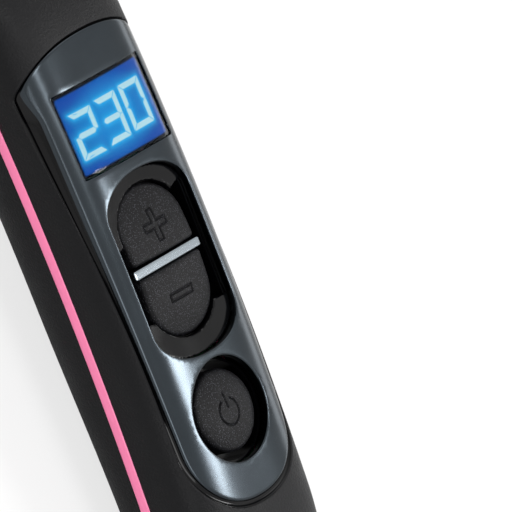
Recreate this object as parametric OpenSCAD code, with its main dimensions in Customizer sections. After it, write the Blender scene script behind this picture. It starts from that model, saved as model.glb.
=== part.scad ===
// Heated hair straightening brush, lying on its back with the bristles up.
// X is across, +Y runs from the cord end to the head's tip, and +Z is up from the table.
// The whole body is bowed: stations are lengths along a centre line of radius bow_r,
// and heights are counted from that line, which is also the line where the shells part.

/* [Body] */
// Radius of the lengthwise bow of the centre line
bow_r = 740; // [500:10:1200]
// Wall of the moulded shells
wall = 2.2; // [1.6:0.1:3]
// Wall under the control panel, before its pocket is cut
face_wall = 3.8; // [3.4:0.1:4.6]
// Width of the handle
handle_w = 38; // [36:0.5:44]
// Height of the handle's face above the parting line
face_h = 14; // [13:0.5:17]
// Depth of the handle's back below the parting line
handle_d = 17; // [15:0.5:20]
// Squareness of the handle's face (2 is an ellipse)
face_n = 4; // [3:0.1:5]
// Roundness of the back (2 is an ellipse)
back_n = 2.6; // [2.2:0.1:3.2]
// Station of the handle's cord end
butt_s = -128; // [-140:1:-124]
// Length of the rounding at the cord end
butt_len = 20; // [14:1:20]
// Width of the cord end's flat
end_w = 26; // [25:0.5:30]
// Height of the cord end's flat above and below the parting line
end_h = 12.6; // [12.4:0.1:13.5]

/* [Head] */
// Station of the middle of the head
head_s = 78; // [74:1:90]
// Half length of the head
head_half = 61; // [58:1:66]
// Width of the head
head_w = 65; // [64:1:76]
// Height of the frame's crown above the parting line
frame_h = 8; // [7.5:0.25:10]
// Depth of the head's back below the parting line
head_d = 15; // [14:0.5:19]
// Squareness of the head's outline towards the tip
tip_n = 3.2; // [2.6:0.1:3.6]
// Squareness of the head's outline towards the neck
neck_n = 2.3; // [2:0.1:2.6]
// Station where the handle's front shell meets the head frame
neck_s = 8; // [4:1:14]
// Length over which the tip rounds off in height
tip_round = 22; // [18:1:24]

/* [Trim band] */
// Height of the coloured band between the shells
trim_h = 1.5; // [1:0.1:2.5]
// How far the band stands proud of the shells
trim_proud = 0.3; // [0.1:0.1:0.6]

/* [Heating plate] */
// Radius of the plate's lengthwise crown
plate_r = 450; // [350:10:700]
// Half length of the plate
plate_half = 51.5; // [48:0.5:52]
// Width of the plate
plate_w = 50.6; // [48:0.2:52]
// Thickness of the plate
plate_t = 2.6; // [2:0.1:3.4]
// Height of the plate's face above the parting line
plate_h = 7; // [6.5:0.25:7.5]
// Gap between the plate and its frame
plate_gap = 0.5; // [0.3:0.1:1]
// Width of the rim that holds the plate under the frame
plate_rim = 1.6; // [1:0.1:2.2]
// Distance between two columns of teeth
tooth_gap_x = 10.2; // [9.8:0.1:11]
// Distance between two teeth of one column
tooth_gap_s = 7.6; // [7.2:0.1:9]
// Length of a tooth, across the head
tooth_l = 9; // [7.5:0.1:9.4]
// Thickness of a tooth, along the head
tooth_w = 4.4; // [3.4:0.1:4.8]
// Height of a tooth
tooth_h = 12.5; // [9:0.5:16]
// Diameter of the insulating tip on a tooth
tip_d = 3.7; // [3:0.1:4]

/* [Outer bristles] */
// Number of bristles round the frame
bristle_count = 34; // [24:1:40]
// Diameter of a bristle
bristle_d = 1.9; // [1.4:0.1:2.4]
// Height of the bristles' ends above the plate's face
bristle_h = 15.5; // [10:0.5:18]
// Depth of a bristle's socket
bristle_seat = 1.4; // [1:0.1:1.6]
// Distance of the bristles outside the plate's edge
bristle_off = 3.9; // [3.4:0.1:4.6]

/* [Control panel] */
// Station of the panel's middle
panel_s = -55; // [-57:1:-53]
// Length of the panel
panel_len = 99.5; // [97:0.5:102]
// How far the panel's edges stay inside the handle's sides
panel_margin = 2.3; // [2:0.1:3]
// Thickness of the panel
panel_t = 1.6; // [1.2:0.1:2]
// Width of the gloss groove round the panel
bezel_w = 2; // [1.4:0.1:2.4]
// How deep the groove lies below the face
bezel_drop = 0.7; // [0.3:0.1:1]
// Gap between parts that are set into each other
seat_gap = 0.1; // [0.05:0.05:0.2]

/* [Display] */
// Place of the display from the panel's middle
lcd_s = 32.4; // [31.6:0.2:34]
// Width of the window
lcd_w = 27; // [24:0.5:27]
// Length of the window
lcd_l = 17.3; // [15:0.1:17.5]
// Thickness of the window
lcd_t = 1.2; // [0.8:0.1:1.4]
// How deep the window lies below the panel's crown
lcd_drop = 1.9; // [1.8:0.1:2.2]
// Width of the ledge that carries the window
lcd_ledge = 0.8; // [0.6:0.1:1.2]

/* [Buttons] */
// Place of the temperature buttons' recess from the panel's middle
rocker_s = 0.6; // [0:0.2:1.4]
// Width of the recess
rocker_w = 25.2; // [24.6:0.2:26]
// Length of the recess
rocker_l = 38.6; // [37:0.2:39.2]
// Width of the pair of temperature buttons
keys_w = 19.6; // [18.6:0.2:20.2]
// Length of the pair of temperature buttons
keys_l = 30; // [28.6:0.2:30.8]
// Height of the temperature buttons' tops below the panel's crown
keys_drop = 1.3; // [1.1:0.1:2]
// Width of the bright bar between them
bar_w = 1.9; // [1.4:0.1:2.4]
// Place of the power button from the panel's middle
power_s = -31.8; // [-32.6:0.2:-31.6]
// Diameter of the power button's recess
power_well_d = 21.8; // [21:0.2:22.4]
// Diameter of the power button
power_d = 17.2; // [15:0.2:17.4]
// Height of the power button's top below the panel's crown
power_drop = 0.7; // [0.5:0.1:1.4]
// Radius of the domes of the buttons
dome_r = 40; // [30:1:80]
// Travel of each button
key_travel = 0.6; // [0.4:0.1:0.7]
// Gap round each button
key_gap = 0.35; // [0.3:0.05:0.5]
// Depth of the debossed signs
sign_depth = 0.3; // [0.2:0.05:0.5]
// How deep the ledges round the buttons lie below the panel's crown
ledge_drop = 2.1; // [1.9:0.1:2.6]

/* [Electronics] */
// Height of the board's upper face above the parting line
board_h = 2.6; // [2:0.1:3]
// Thickness of the circuit board
board_t = 1.6; // [1:0.2:2]
// Width of the circuit board
board_w = 25; // [22:0.5:26]
// Length of the circuit board
board_l = 98; // [97:0.5:100]
// Side of a push switch
switch_a = 6; // [5:0.2:7]
// Height of a push switch
switch_h = 3.5; // [3:0.1:3.6]
// Diameter of a switch's plunger
plunger_d = 3.4; // [2.6:0.1:3.8]
// Radial running clearance of plungers and of the swivel
run_gap = 0.06; // [0.04:0.01:0.09]

/* [Screws] */
// Diameter of a screw's shank
screw_d = 2.4; // [2:0.1:2.8]
// Diameter of a screw's head
screw_head_d = 4.8; // [4:0.1:5.4]
// Height of a screw's head
screw_head_h = 1.6; // [1.2:0.1:2]
// Gap round a screw's shank
screw_gap = 0.05; // [0.03:0.01:0.2]
// Diameter of a screw post
post_d = 6.4; // [6:0.1:7.5]

/* [Cord outlet] */
// Diameter of the swivel's neck
swivel_d = 16; // [14:0.2:17]
// Length of the swivel outside the cord end
swivel_out = 11; // [8:0.5:16]
// Diameter of the bore for the cord
cord_bore_d = 6.6; // [5:0.1:8]
// Diameter of the swivel's nose
nose_d = 11.6; // [10.4:0.2:13]
// Outer diameter of the end ring
ring_d = 20.4; // [19.6:0.2:21]
// Width of the end ring's outer flange
ring_lip = 1.4; // [1:0.1:1.8]

/* [Hidden] */

$fn = 48;
bow_fn = 720;       // facets of a full turn of the large radii
half_steps = 14;    // steps round one half of a shell's section
eps = 0.01;
cut = 60;           // longer than any wall, for cutting tools

head_end = head_s + head_half;
tip_from = head_end - tip_round;
butt_from = butt_s + butt_len;
butt_land_s = butt_s + 0.3 * butt_len;
head_land_s = head_end - tip_round;
land_cut = 0.35;    // how deep the flats of the back are cut, so that it lies still
back_round = 36;    // length over which the head's back rises to the tip
back_round_n = 2.2; // squareness of that rise

function deg_of(a) = a * 180 / PI;
function drop(s) = bow_r * (1 - cos(deg_of(s / bow_r)));
// Height of the centre line's apex, with the head's back on the table.
apex_z = drop(head_land_s) + head_d * back_k(head_land_s, 0) - land_cut;
// Depth of the back at the cord end that just reaches the table too.
butt_d = apex_z - drop(butt_land_s) + land_cut;
// The box is centred in Y between the head's tip and the swivel's nose.
butt_tilt = deg_of(butt_s / bow_r);
tip_y = bow_r * sin(deg_of((head_end + trim_proud) / bow_r));
nose_y = bow_r * sin(butt_tilt) - swivel_out * cos(butt_tilt) + nose_d / 2 * sin(butt_tilt);
apex_y = -(tip_y + nose_y) / 2;

// ---- outline of the body, as functions of the station ----
function sup(u, n) = pow(max(0, 1 - pow(min(1, abs(u)), n)), 1 / n);
function smooth(a, b, s) = let (u = min(1, max(0, (s - a) / (b - a)))) u * u * (3 - 2 * u);
function mix(a, b, k) = a + (b - a) * k;
function butt_k(s) = s > butt_from ? 1 : sup((butt_from - s) / butt_len, 2);
function handle_x(s, t) = (mix(end_w, handle_w, butt_k(s)) / 2 - t) * (1 - smooth(neck_s + neck_in, head_s, s));
function head_x(s, t) = (head_w / 2 - t) * sup((s - head_s) / (head_half - t), s < head_s ? neck_n : tip_n);
blend_n = 6;        // sharpness of the neck's blend
neck_in = 10;       // how far the change of height reaches into the handle
neck_out = 24;      // the same into the head
function half_w(s, t) = pow(pow(handle_x(s, t), blend_n) + pow(head_x(s, t), blend_n), 1 / blend_n);
function frame_up(s) = frame_h - (s - head_s) * (s - head_s) * (1 / plate_r - 1 / bow_r) / 2;
neck_from = neck_s - neck_in;
neck_to = neck_s + neck_out;
function in_head(s) = smooth(neck_from, neck_to, s);
function tip_k(s, t, n) = s < tip_from ? 1 : sup((s - tip_from) / (tip_round - t), n);
function up(s, t, tf) =
  mix(mix(end_h, face_h, butt_k(s)) - tf, (frame_up(s) - t) * tip_k(s, t, 2), in_head(s));
function back_k(s, t) =
  s < head_end - back_round ? 1 : sup((s - head_end + back_round) / (back_round - t), back_round_n);
function handle_back(s) =
  s < butt_land_s
    ? mix(end_h, butt_d, sup((butt_land_s - s) / (butt_land_s - butt_s + eps), 2))
    : mix(butt_d, handle_d, smooth(butt_land_s, panel_s, s));
function down(s, t) = mix(handle_back(s) - t, (head_d - t) * back_k(s, t), in_head(s));

// Stations from the cord end to the neck, and from the neck to the tip, t inside the surface.
end_steps = 6;
long_steps = 8;
head_steps = 4;
tip_steps = 9;
tip_turn = 88.9;    // the last section closes the tip just before a quarter turn
neck_tail = 8;      // length of the slowly changing part after the neck
tip_lead = 4;       // how far before the rounding of the tip its sections begin
function butt_stations(t) = [for (i = [0:end_steps]) butt_from - (butt_len - t) * cos(i * 90 / end_steps)];
function handle_stations() = [for (i = [1:long_steps]) mix(butt_from, neck_from, i / long_steps)];
function neck_stations() = [for (i = [1:long_steps]) mix(neck_s, neck_to + neck_tail, i / long_steps)];
function head_stations() =
  [for (i = [1:head_steps]) mix(neck_to + neck_tail, tip_from - 2 * tip_lead, i / head_steps)];
function tip_stations(t) =
  [for (i = [0:tip_steps]) tip_from - tip_lead + (tip_round + tip_lead - t) * sin(i * tip_turn / tip_steps)];

// A point of the bowed body, kept above the level low.
function arc_point(x, s, h, low) = let (a = deg_of(s / bow_r), r = bow_r + h)
  [x, apex_y + r * sin(a), max(low, apex_z - bow_r + r * cos(a))];

// One section: a flat base at height base, and a half superellipse that rises by rise (or falls, below 0).
function half_section(s, w, base, rise, n, low) = [
  for (i = [0:half_steps])
    let (a = 180 * i / half_steps, c = cos(a))
      arc_point(w * sign(c) * pow(abs(c), 2 / n), s, base + rise * pow(max(0, sin(a)), 2 / n), low)
];

// Closed solid through a list of sections with the same number of points.
module loft(rings) {
  n = len(rings[0]);
  m = len(rings);
  sides = [
    for (j = [0:m - 2], i = [0:n - 1], k = [0, 1])
      let (a = j * n + i, b = j * n + (i + 1) % n)
        k == 0 ? [a, b, a + n] : [b, b + n, a + n]
  ];
  first = [for (i = [n - 1:-1:0]) i];
  last = [for (i = [0:n - 1]) (m - 1) * n + i];
  polyhedron(points = [for (r = rings) each r], faces = concat([first], sides, [last]), convexity = 8);
}

thin = 0.5;         // least height of a section

// Upper half of the body between stations, t inside the sides and tf inside the handle's face.
module upper_half(stations, t, tf, base) {
  loft([
    for (s = stations)
      half_section(s, half_w(s, t), base, max(thin, up(s, t, tf) - base), face_n, 0)
  ]);
}

// Lower half of the body between stations, t inside the surface, flat where it meets the table.
module lower_half(stations, t, base) {
  loft([
    for (s = stations)
      let (r = half_section(s, half_w(s, t), base, min(-thin, -down(s, t) - base), back_n, t))
        [for (i = [len(r) - 1:-1:0]) r[i]]
  ]);
}

// Level slab at the parting line, as wide as the body plus grow.
module parting_slab(stations, grow, half_h) {
  loft([
    for (s = stations)
      let (w = half_w(s, -grow))
        [arc_point(w, s, -half_h, 0), arc_point(w, s, half_h, 0),
         arc_point(-w, s, half_h, 0), arc_point(-w, s, -half_h, 0)]
  ]);
}

// ---- placing parts on the bowed body ----
module at_arc(s, h = 0, x = 0) {
  translate([0, apex_y, apex_z - bow_r])
    rotate([-deg_of(s / bow_r), 0, 0])
      translate([x, 0, bow_r + h])
        children();
}

// Sweeps a section (drawn as height, across) along the bow from station a to station b.
module arc_sweep(a, b) {
  translate([0, apex_y, apex_z - bow_r])
    rotate([0, -90, 0])
      rotate([0, 0, deg_of(a / bow_r)])
        rotate_extrude(angle = deg_of((b - a) / bow_r), $fn = bow_fn)
          translate([bow_r, 0])
            children();
}

// Section of the handle's face at depth t, from the parting line upwards.
face_steps = 32;
module face_section(t) {
  polygon([
    for (i = [0:face_steps])
      let (a = 180 * i / face_steps, c = cos(a))
        [(face_h - t) * pow(max(0, sin(a)), 2 / face_n),
         (handle_w / 2 - t) * sign(c) * pow(abs(c), 2 / face_n)]
  ]);
}

// Band of the handle's face between two depths, over the panel's length.
module face_band(top, bottom) {
  reach = panel_len / 2 + 2 * bezel_w;
  arc_sweep(panel_s - reach, panel_s + reach)
    difference() {
      face_section(top);
      face_section(bottom);
      translate([-handle_w, -handle_w]) square([handle_w + pocket_low + seat_gap, 2 * handle_w]);
    }
}

// ---- plan outlines ----
// Panel: straight sides, a rounder end towards the cord and a flatter one towards the head.
panel_w = handle_w - 2 * panel_margin;
panel_low = 15;     // length of the rounding towards the cord
panel_high = 11;    // length of the rounding towards the head
panel_n = 2.2;      // squareness of both
bezel_side = 0.55;  // share of the groove's width seen from above at the steep sides
pocket_low = 7.4;   // height above the parting line where the sides of the panel's pocket end
outline_steps = 14;
module panel_outline(grow) {
  w = panel_w / 2 + grow * bezel_side;
  polygon(concat(
    [for (i = [0:outline_steps]) let (a = 180 * i / outline_steps)
      [w * sup(sin(a), panel_n) * sign(cos(a)), panel_len / 2 - panel_high + (panel_high + grow) * sin(a)]],
    [for (i = [0:outline_steps]) let (a = 180 + 180 * i / outline_steps)
      [w * sup(sin(a), panel_n) * sign(cos(a)), -panel_len / 2 + panel_low + (panel_low + grow) * sin(a)]]
  ));
}

// Long oval with straight sides: the recess and the buttons in it.
module long_oval(w, l, grow = 0) {
  r = w / 2 + grow;
  mid = l / 2 - w / 2;
  union() {
    translate([0, mid]) circle(r);
    translate([0, -mid]) circle(r);
    square([2 * r, 2 * mid], center = true);
  }
}

// ---- heating plate's own frame ----
plate_neck_n = neck_n + 0.3;
plate_tip_n = tip_n + 0.4;
plate_steps = 24;
function plate_x(u, grow) =
  (plate_w / 2 + grow) * sup(u / (plate_half + grow), u < 0 ? plate_neck_n : plate_tip_n);

module plate_outline(grow) {
  polygon(concat(
    [for (i = [-plate_steps:plate_steps])
      let (u = (plate_half + grow) * sin(90 * i / plate_steps)) [plate_x(u, grow), u]],
    [for (i = [plate_steps - 1:-1:1 - plate_steps])
      let (u = (plate_half + grow) * sin(90 * i / plate_steps)) [-plate_x(u, grow), u]]
  ));
}

module on_plate(x, u) {
  at_arc(head_s, plate_h - plate_r)
    rotate([-deg_of(u / plate_r), 0, 0])
      translate([x, 0, plate_r])
        children();
}

// Sheet of the outline given as a child, crowned like the plate, between two depths below its face.
module crowned(top, bottom) {
  at_arc(head_s)
    intersection() {
      linear_extrude(height = 2 * cut, center = true) children();
      translate([0, 0, plate_h - plate_r])
        rotate([0, 90, 0])
          difference() {
            cylinder(r = plate_r - top, h = 2 * head_w, center = true, $fn = bow_fn);
            cylinder(r = plate_r - bottom, h = 3 * head_w, center = true, $fn = bow_fn);
          }
    }
}

// Places of the teeth: five columns, every other one shifted by half a pitch.
tooth_inset = 0.6;  // least distance of a tooth from the plate's edge
tooth_edge = plate_w / 2 - 2 * tooth_gap_x - tooth_l / 2;
tooth_shift = 0.35; // share of a pitch that an outer tooth may move in where the plate narrows
tooth_end = 0.7;    // share of a tooth's thickness kept free towards the plate's ends
function tooth_x(k, u) =
  abs(k) < 2 ? k * tooth_gap_x
    : sign(k) * min(2 * tooth_gap_x, plate_x(u, 0) - tooth_l / 2 - max(0, min(tooth_inset, tooth_edge)));
function tooth_fits(k, u) =
  abs(k) == 2
    ? plate_x(u, 0) - tooth_l / 2 - tooth_inset > (2 - tooth_shift) * tooth_gap_x
    : plate_x(u + sign(u) * tooth_w * tooth_end, 0) > abs(k) * tooth_gap_x + tooth_l / 2 - 2 * tooth_inset;
rows = ceil(plate_half / tooth_gap_s);
teeth = [
  for (k = [-2:2], j = [-rows:rows])
    let (u = (j + (abs(k) == 1 ? 0.5 : 0)) * tooth_gap_s)
      if (abs(u) < plate_half - tooth_w && tooth_fits(k, u))
        [tooth_x(k, u), u]
];

bristle_fn = 24;

// Places of the outer bristles: evenly spaced along an oval outside the plate.
oval_steps = 120;
oval = [
  for (i = [0:oval_steps])
    let (a = 360 * i / oval_steps - 90, u = (plate_half + bristle_off) * sin(a))
      [sign(cos(a)) * plate_x(u, bristle_off), u]
];
function oval_side(i) = i < oval_steps ? norm(oval[i + 1] - oval[i]) : 0;
oval_run = [for (i = 0, run = 0; i <= oval_steps; run = run + oval_side(i), i = i + 1) run];
function along_oval(run, axis) = lookup(run, [for (i = [0:oval_steps]) [oval_run[i], oval[i][axis]]]);
bristles = [
  for (i = [0:bristle_count - 1])
    let (run = (i + 0.5) / bristle_count * oval_run[oval_steps])
      [along_oval(run, 0), along_oval(run, 1)]
];
// Height of the frame's surface above the plate's crown, at a bristle.
function frame_rise(b) = let (s = head_s + b[1])
  trim_h / 2 + (up(s, 0, 0) - trim_h / 2) * sup(b[0] / half_w(s, 0), face_n)
  - plate_h + b[1] * b[1] * (1 / plate_r - 1 / bow_r) / 2;

// ---- under the heating plate: depths below its face ----
rim_t = 1;                                     // thickness of the rim that the frame holds down
heater_t = 1.6;
heater_w = 14;
heater_l = 66;
mica_t = 0.4;
mica_over = 2;                                 // how far the mica reaches past the clamp at each end
clamp_t = 1.2;
clamp_w = 29;
clamp_l = 40;
clamp_bite = 1.5;                              // metal left over the tip of a clamp screw
plate_boss = 8;                                // height of the screw bosses under the plate
shield_t = 0.6;
shield_in = 3;                                 // distance of the shield from the plate's edge
shield_depth = plate_t + plate_boss;
post_top = shield_depth + shield_t;
mica_depth = plate_t + heater_t;
clamp_depth = mica_depth + mica_t + seat_gap;
fuse_d = 4;
fuse_l = 11;
fuse_x = 4;
sensor_d = 2;
sensor_l = 6;
sensor_x = 10;
sensor_u = -27;

// ---- screw places ----
plate_post_x = 16.5;
plate_post_u = 29;
clamp_post_x = 11;
board_post_in = 3.4;                           // distance of the board's screws from its edges
plate_posts = [for (x = [-1, 1], u = [-1, 1]) [x * plate_post_x, u * plate_post_u]];
clamp_posts = [for (x = [-1, 1]) [x * clamp_post_x, 0]];
neck_post_in = 6;                              // distance of the front post from the head frame's joint
butt_post_in = 1;                              // how far the rear post stands in the cord end's rounding
shell_posts = [neck_s - neck_post_in, butt_from - butt_post_in];
board_posts = [
  for (x = [-1, 1], y = [-1, 1])
    [x * (board_w / 2 - board_post_in), y * (board_l / 2 - board_post_in)]
];
plate_screw_seat = post_top + 3;               // depth of the head's seat in the rear post
shell_screw_seat = 8;                          // the same in a handle post
shell_bite = 7;                                // length of a shell screw in the front post
board_post_d = 5;
board_bite = 4;                                // length of a board screw in its post
skin = 1.2;                                    // wall left under the foot of a post
weld = 0.4;                                    // how far a post reaches into the wall it stands on
pilot_d = screw_d + 2 * screw_gap;
clear_d = pilot_d + 0.3;                       // bore that a shank passes with play

// ---- heights in the control zone, in the frame of the panel's middle ----
function sag(y) = (bow_r + face_h) * (1 - cos(deg_of(y / bow_r)));
floor_under = board_h + switch_h + weld;       // underside of the button carrier's floor
floor_t = 1;
floor_top = floor_under + floor_t;
flange_h = 2;
flange_w = 1;
play = 0.3;                                    // room left beyond a button's travel
key_bottom = floor_top + key_travel + play;
key_lip_t = 0.8;
key_lip_w = 0.6;
plunger_top = floor_under + floor_t / 2;
plunger_bore_low = board_h + 1;
plunger_low = plunger_bore_low + play + key_travel;
stem_gap = 0.4;                                // gap round a plunger in the carrier's floor
keys_top = face_h - keys_drop;
power_top = face_h - power_drop - sag(power_s);
keys_dome_r = 1.8 * dome_r;
bar_off = 0.8;                                 // the bar's place from the middle of the recess
bar_h = 0.1;                                   // how far the bar stands above the buttons' tops
plus_in = 8;                                   // the plus button's switch, from the middle of the recess
minus_in = 7;                                  // the minus button's switch, on the other side
plus_y = rocker_s + plus_in;
minus_y = rocker_s - minus_in;
lcd_top = face_h - lcd_drop - sag(lcd_s);
glass_t = 1.8;
block_in = 1.2;                                // step between the display's glass and its holder

module at_panel(y = 0, x = 0) {
  at_arc(panel_s) translate([x, y, 0]) children();
}

// Box of a window, grown by a gap on each side.
module window_block(w, l, grow, h) {
  translate([-w / 2 - grow, -l / 2 - grow, 0]) cube([w + 2 * grow, l + 2 * grow, h]);
}

// Seat of the end ring and of the swivel's flange in the cord end.
ring_in = wall + 2;                            // length of the ring inside the cord end
flange_in = 0.5;                               // room round the swivel's flange
swivel_flange_t = 1.8;
module at_butt() {
  at_arc(butt_s) rotate([90, 0, 0]) children();
}
module swivel_seat() {
  depth = ring_in + play + swivel_flange_t + flange_in;
  at_butt() translate([0, 0, -depth]) cylinder(d = ring_d, h = 2 * depth);
}

// Stations of the full length, t inside the surface.
function all_stations(t) =
  concat(butt_stations(t), handle_stations(), neck_stations(), head_stations(), tip_stations(t));

// ---- shells ----
// Clearance bore for a shank with its seat at depth seat, and a pocket that opens through the back.
module screw_pocket(seat) {
  translate([0, 0, -seat - eps]) cylinder(d = clear_d, h = seat);
  translate([0, 0, -seat - cut]) cylinder(d = screw_head_d + 2 * play, h = cut);
}

module rear_housing() color("#17181a") {
  plate_foot = plate_h + head_d - 2.5 * skin;    // depth of the plate posts' feet
  difference() {
    union() {
      difference() {
        lower_half(all_stations(0), 0, -trim_h / 2);
        lower_half(all_stations(wall), wall, trim_h);
      }
      for (s = shell_posts)
        at_arc(s, skin - down(s, 0)) cylinder(d = post_d, h = down(s, 0) - skin);
      for (p = plate_posts)
        on_plate(p[0], p[1])
          translate([0, 0, -plate_foot]) cylinder(d = post_d, h = plate_foot - post_top);
    }
    for (s = shell_posts) at_arc(s) screw_pocket(shell_screw_seat);
    for (p = plate_posts) on_plate(p[0], p[1]) screw_pocket(plate_screw_seat);
    swivel_seat();
  }
}

// Everything above the panel's seat, inside the outline of its groove.
module panel_pocket() {
  intersection() {
    arc_sweep(panel_s - panel_len, panel_s + panel_len)
      difference() {
        translate([pocket_low, -handle_w]) square([3 * face_h, 2 * handle_w]);
        face_section(panel_t);
      }
    at_panel() linear_extrude(height = cut) panel_outline(bezel_w + seat_gap);
  }
}

module front_housing() color("#1b1c1f") {
  outer = concat(butt_stations(0), handle_stations(), [neck_s - seat_gap / 2]);
  inner = concat(butt_stations(wall), handle_stations(), [neck_s + wall]);
  difference() {
    union() {
      difference() {
        upper_half(outer, 0, 0, trim_h / 2);
        upper_half(inner, wall, face_wall, -trim_h);
      }
      for (s = shell_posts) at_arc(s, seat_gap) cylinder(d = post_d, h = face_h - face_wall + weld);
      for (p = board_posts)
        at_panel(p[1], p[0])
          translate([0, 0, board_h]) cylinder(d = board_post_d, h = face_h - face_wall - weld - board_h);
    }
    panel_pocket();
    at_panel(lcd_s) translate([0, 0, lcd_top - lcd_t]) window_block(lcd_w, lcd_l, seat_gap, cut);
    at_panel(lcd_s) window_block(lcd_w - 2 * lcd_ledge, lcd_l - 2 * lcd_ledge, 0, cut);
    at_panel(rocker_s) linear_extrude(height = cut) long_oval(rocker_w, rocker_l, seat_gap);
    at_panel(power_s) cylinder(d = power_well_d + 2 * seat_gap, h = cut);
    for (s = shell_posts) at_arc(s) cylinder(d = pilot_d, h = shell_bite + 1);
    for (p = board_posts) at_panel(p[1], p[0]) cylinder(d = pilot_d, h = board_h + board_bite + 1);
    swivel_seat();
  }
}

module head_frame() color("#141517") {
  outer = concat([neck_s + seat_gap / 2], neck_stations(), head_stations(), tip_stations(0));
  inner = concat([neck_s - wall], neck_stations(), head_stations(), tip_stations(wall));
  difference() {
    upper_half(outer, 0, 0, trim_h / 2);
    upper_half(inner, wall, face_wall, -trim_h);
    at_arc(head_s) linear_extrude(height = cut) plate_outline(plate_gap);
    crowned(plate_t - rim_t - seat_gap, cut / 4) plate_outline(plate_rim + seat_gap);
    for (b = bristles)
      on_plate(b[0], b[1])
        translate([0, 0, frame_rise(b) - bristle_seat])
          cylinder(d = bristle_d + 2 * screw_gap, h = cut, $fn = bristle_fn);
  }
}

module trim_band() color("#f0487c") {
  difference() {
    parting_slab(all_stations(0), trim_proud, trim_h / 2);
    parting_slab(all_stations(wall), -wall, trim_h);
    swivel_seat();
  }
}

// ---- control panel ----
module panel_bezel() color("#0b0b0d") {
  intersection() {
    face_band(bezel_drop, panel_t);
    at_panel()
      linear_extrude(height = cut)
        difference() {
          panel_outline(bezel_w);
          panel_outline(seat_gap);
        }
  }
}

module control_panel() color("#5d656c") {
  difference() {
    intersection() {
      face_band(0, panel_t);
      at_panel() linear_extrude(height = cut) panel_outline(0);
    }
    at_panel(lcd_s) window_block(lcd_w, lcd_l, seat_gap, cut);
    at_panel(rocker_s) linear_extrude(height = cut) long_oval(rocker_w, rocker_l);
    at_panel(power_s) cylinder(d = power_well_d, h = cut);
  }
}

module button_carrier() color("#0e0f11") {
  power_ledge = face_h - ledge_drop - sag(power_s);
  difference() {
    union() {
      at_panel(rocker_s) {
        translate([0, 0, floor_under])
          linear_extrude(height = face_h - ledge_drop - floor_under)
            long_oval(rocker_w, rocker_l, -seat_gap);
        translate([0, 0, floor_under])
          linear_extrude(height = flange_h) long_oval(rocker_w, rocker_l, flange_w);
      }
      at_panel(power_s)
        translate([0, 0, floor_under]) {
          cylinder(d = power_well_d - 2 * seat_gap, h = power_ledge - floor_under);
          cylinder(d = power_well_d + 2 * flange_w, h = flange_h);
          translate([-keys_w / 4, 0, 0]) cube([keys_w / 2, rocker_s - power_s, floor_t]);
        }
    }
    at_panel(rocker_s) {
      translate([0, 0, floor_top]) linear_extrude(height = cut) long_oval(keys_w, keys_l, key_gap);
      translate([0, 0, floor_top])
        linear_extrude(height = key_bottom + key_lip_t + play - floor_top)
          long_oval(keys_w, keys_l, key_gap + key_lip_w);
    }
    at_panel(power_s)
      translate([0, 0, floor_top]) {
        cylinder(d = power_d + 2 * key_gap, h = cut);
        cylinder(d = power_d + 2 * (key_gap + key_lip_w), h = key_bottom + key_lip_t + play - floor_top);
      }
    for (y = [plus_y, minus_y, power_s])
      at_panel(y) cylinder(d = plunger_d + 2 * stem_gap, h = floor_top + eps);
  }
}

module divider_bar() color("#c9ced2") {
  half = keys_w / 2 + key_gap;
  at_panel(rocker_s + bar_off)
    translate([seat_gap - half, -bar_w / 2, floor_top])
      cube([2 * (half - seat_gap), bar_w, keys_top + bar_h - floor_top]);
}

module display_window() color("#0a5fb4") {
  at_panel(lcd_s) translate([0, 0, lcd_top - lcd_t]) window_block(lcd_w, lcd_l, 0, lcd_t);
}

module lcd_module() color("#0d8ad0") {
  glass_top = lcd_top - lcd_t - seat_gap;
  ledge = lcd_ledge + seat_gap;
  at_panel(lcd_s) {
    translate([0, 0, glass_top - glass_t]) window_block(lcd_w - 2 * ledge, lcd_l - 2 * ledge, 0, glass_t);
    translate([0, 0, board_h])
      window_block(lcd_w, lcd_l, -ledge - block_in, glass_top - glass_t - board_h);
  }
}

// ---- buttons ----
// A button from its lip up to its dome, with a stem down to the switch. The child is its outline.
module button_solid(top, r, dome_y) {
  intersection() {
    union() {
      translate([0, 0, key_bottom]) linear_extrude(height = cut) children(0);
      translate([0, 0, key_bottom]) linear_extrude(height = key_lip_t) children(1);
    }
    translate([0, dome_y, top - r]) sphere(r = r, $fn = 180);
  }
}

module key_outline(side, grow) {
  edge = side * bar_off + bar_w / 2 + key_gap;   // from the recess's middle to this button's flat side
  intersection() {
    long_oval(keys_w, keys_l, grow);
    translate([-keys_w, side > 0 ? edge : -edge - keys_l]) square([2 * keys_w, keys_l]);
  }
}

module stem(y) {
  translate([0, y, plunger_top]) cylinder(d = plunger_d, h = key_bottom - plunger_top + eps);
}

sign_arm = 3.3;     // half length of the plus and minus signs
sign_w = 1.1;       // their width
module plus_button() color("#222326") {
  at_panel(rocker_s)
    difference() {
      union() {
        button_solid(keys_top, keys_dome_r, 0) {
          key_outline(1, 0);
          key_outline(1, key_lip_w);
        }
        stem(plus_y - rocker_s);
      }
      translate([0, plus_y - rocker_s, sign_level(plus_y - rocker_s)])
        for (a = [0, 90])
          rotate(a) translate([-sign_arm, -sign_w / 2, 0]) cube([2 * sign_arm, sign_w, cut]);
    }
}
function sign_level(y) = keys_top - y * y / (2 * keys_dome_r) - sign_depth;

module minus_button() color("#222326") {
  at_panel(rocker_s)
    difference() {
      union() {
        button_solid(keys_top, keys_dome_r, 0) {
          key_outline(-1, 0);
          key_outline(-1, key_lip_w);
        }
        stem(minus_y - rocker_s);
      }
      translate([-sign_arm, minus_y - rocker_s - sign_w / 2, sign_level(minus_y - rocker_s)])
        cube([2 * sign_arm, sign_w, cut]);
    }
}

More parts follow.
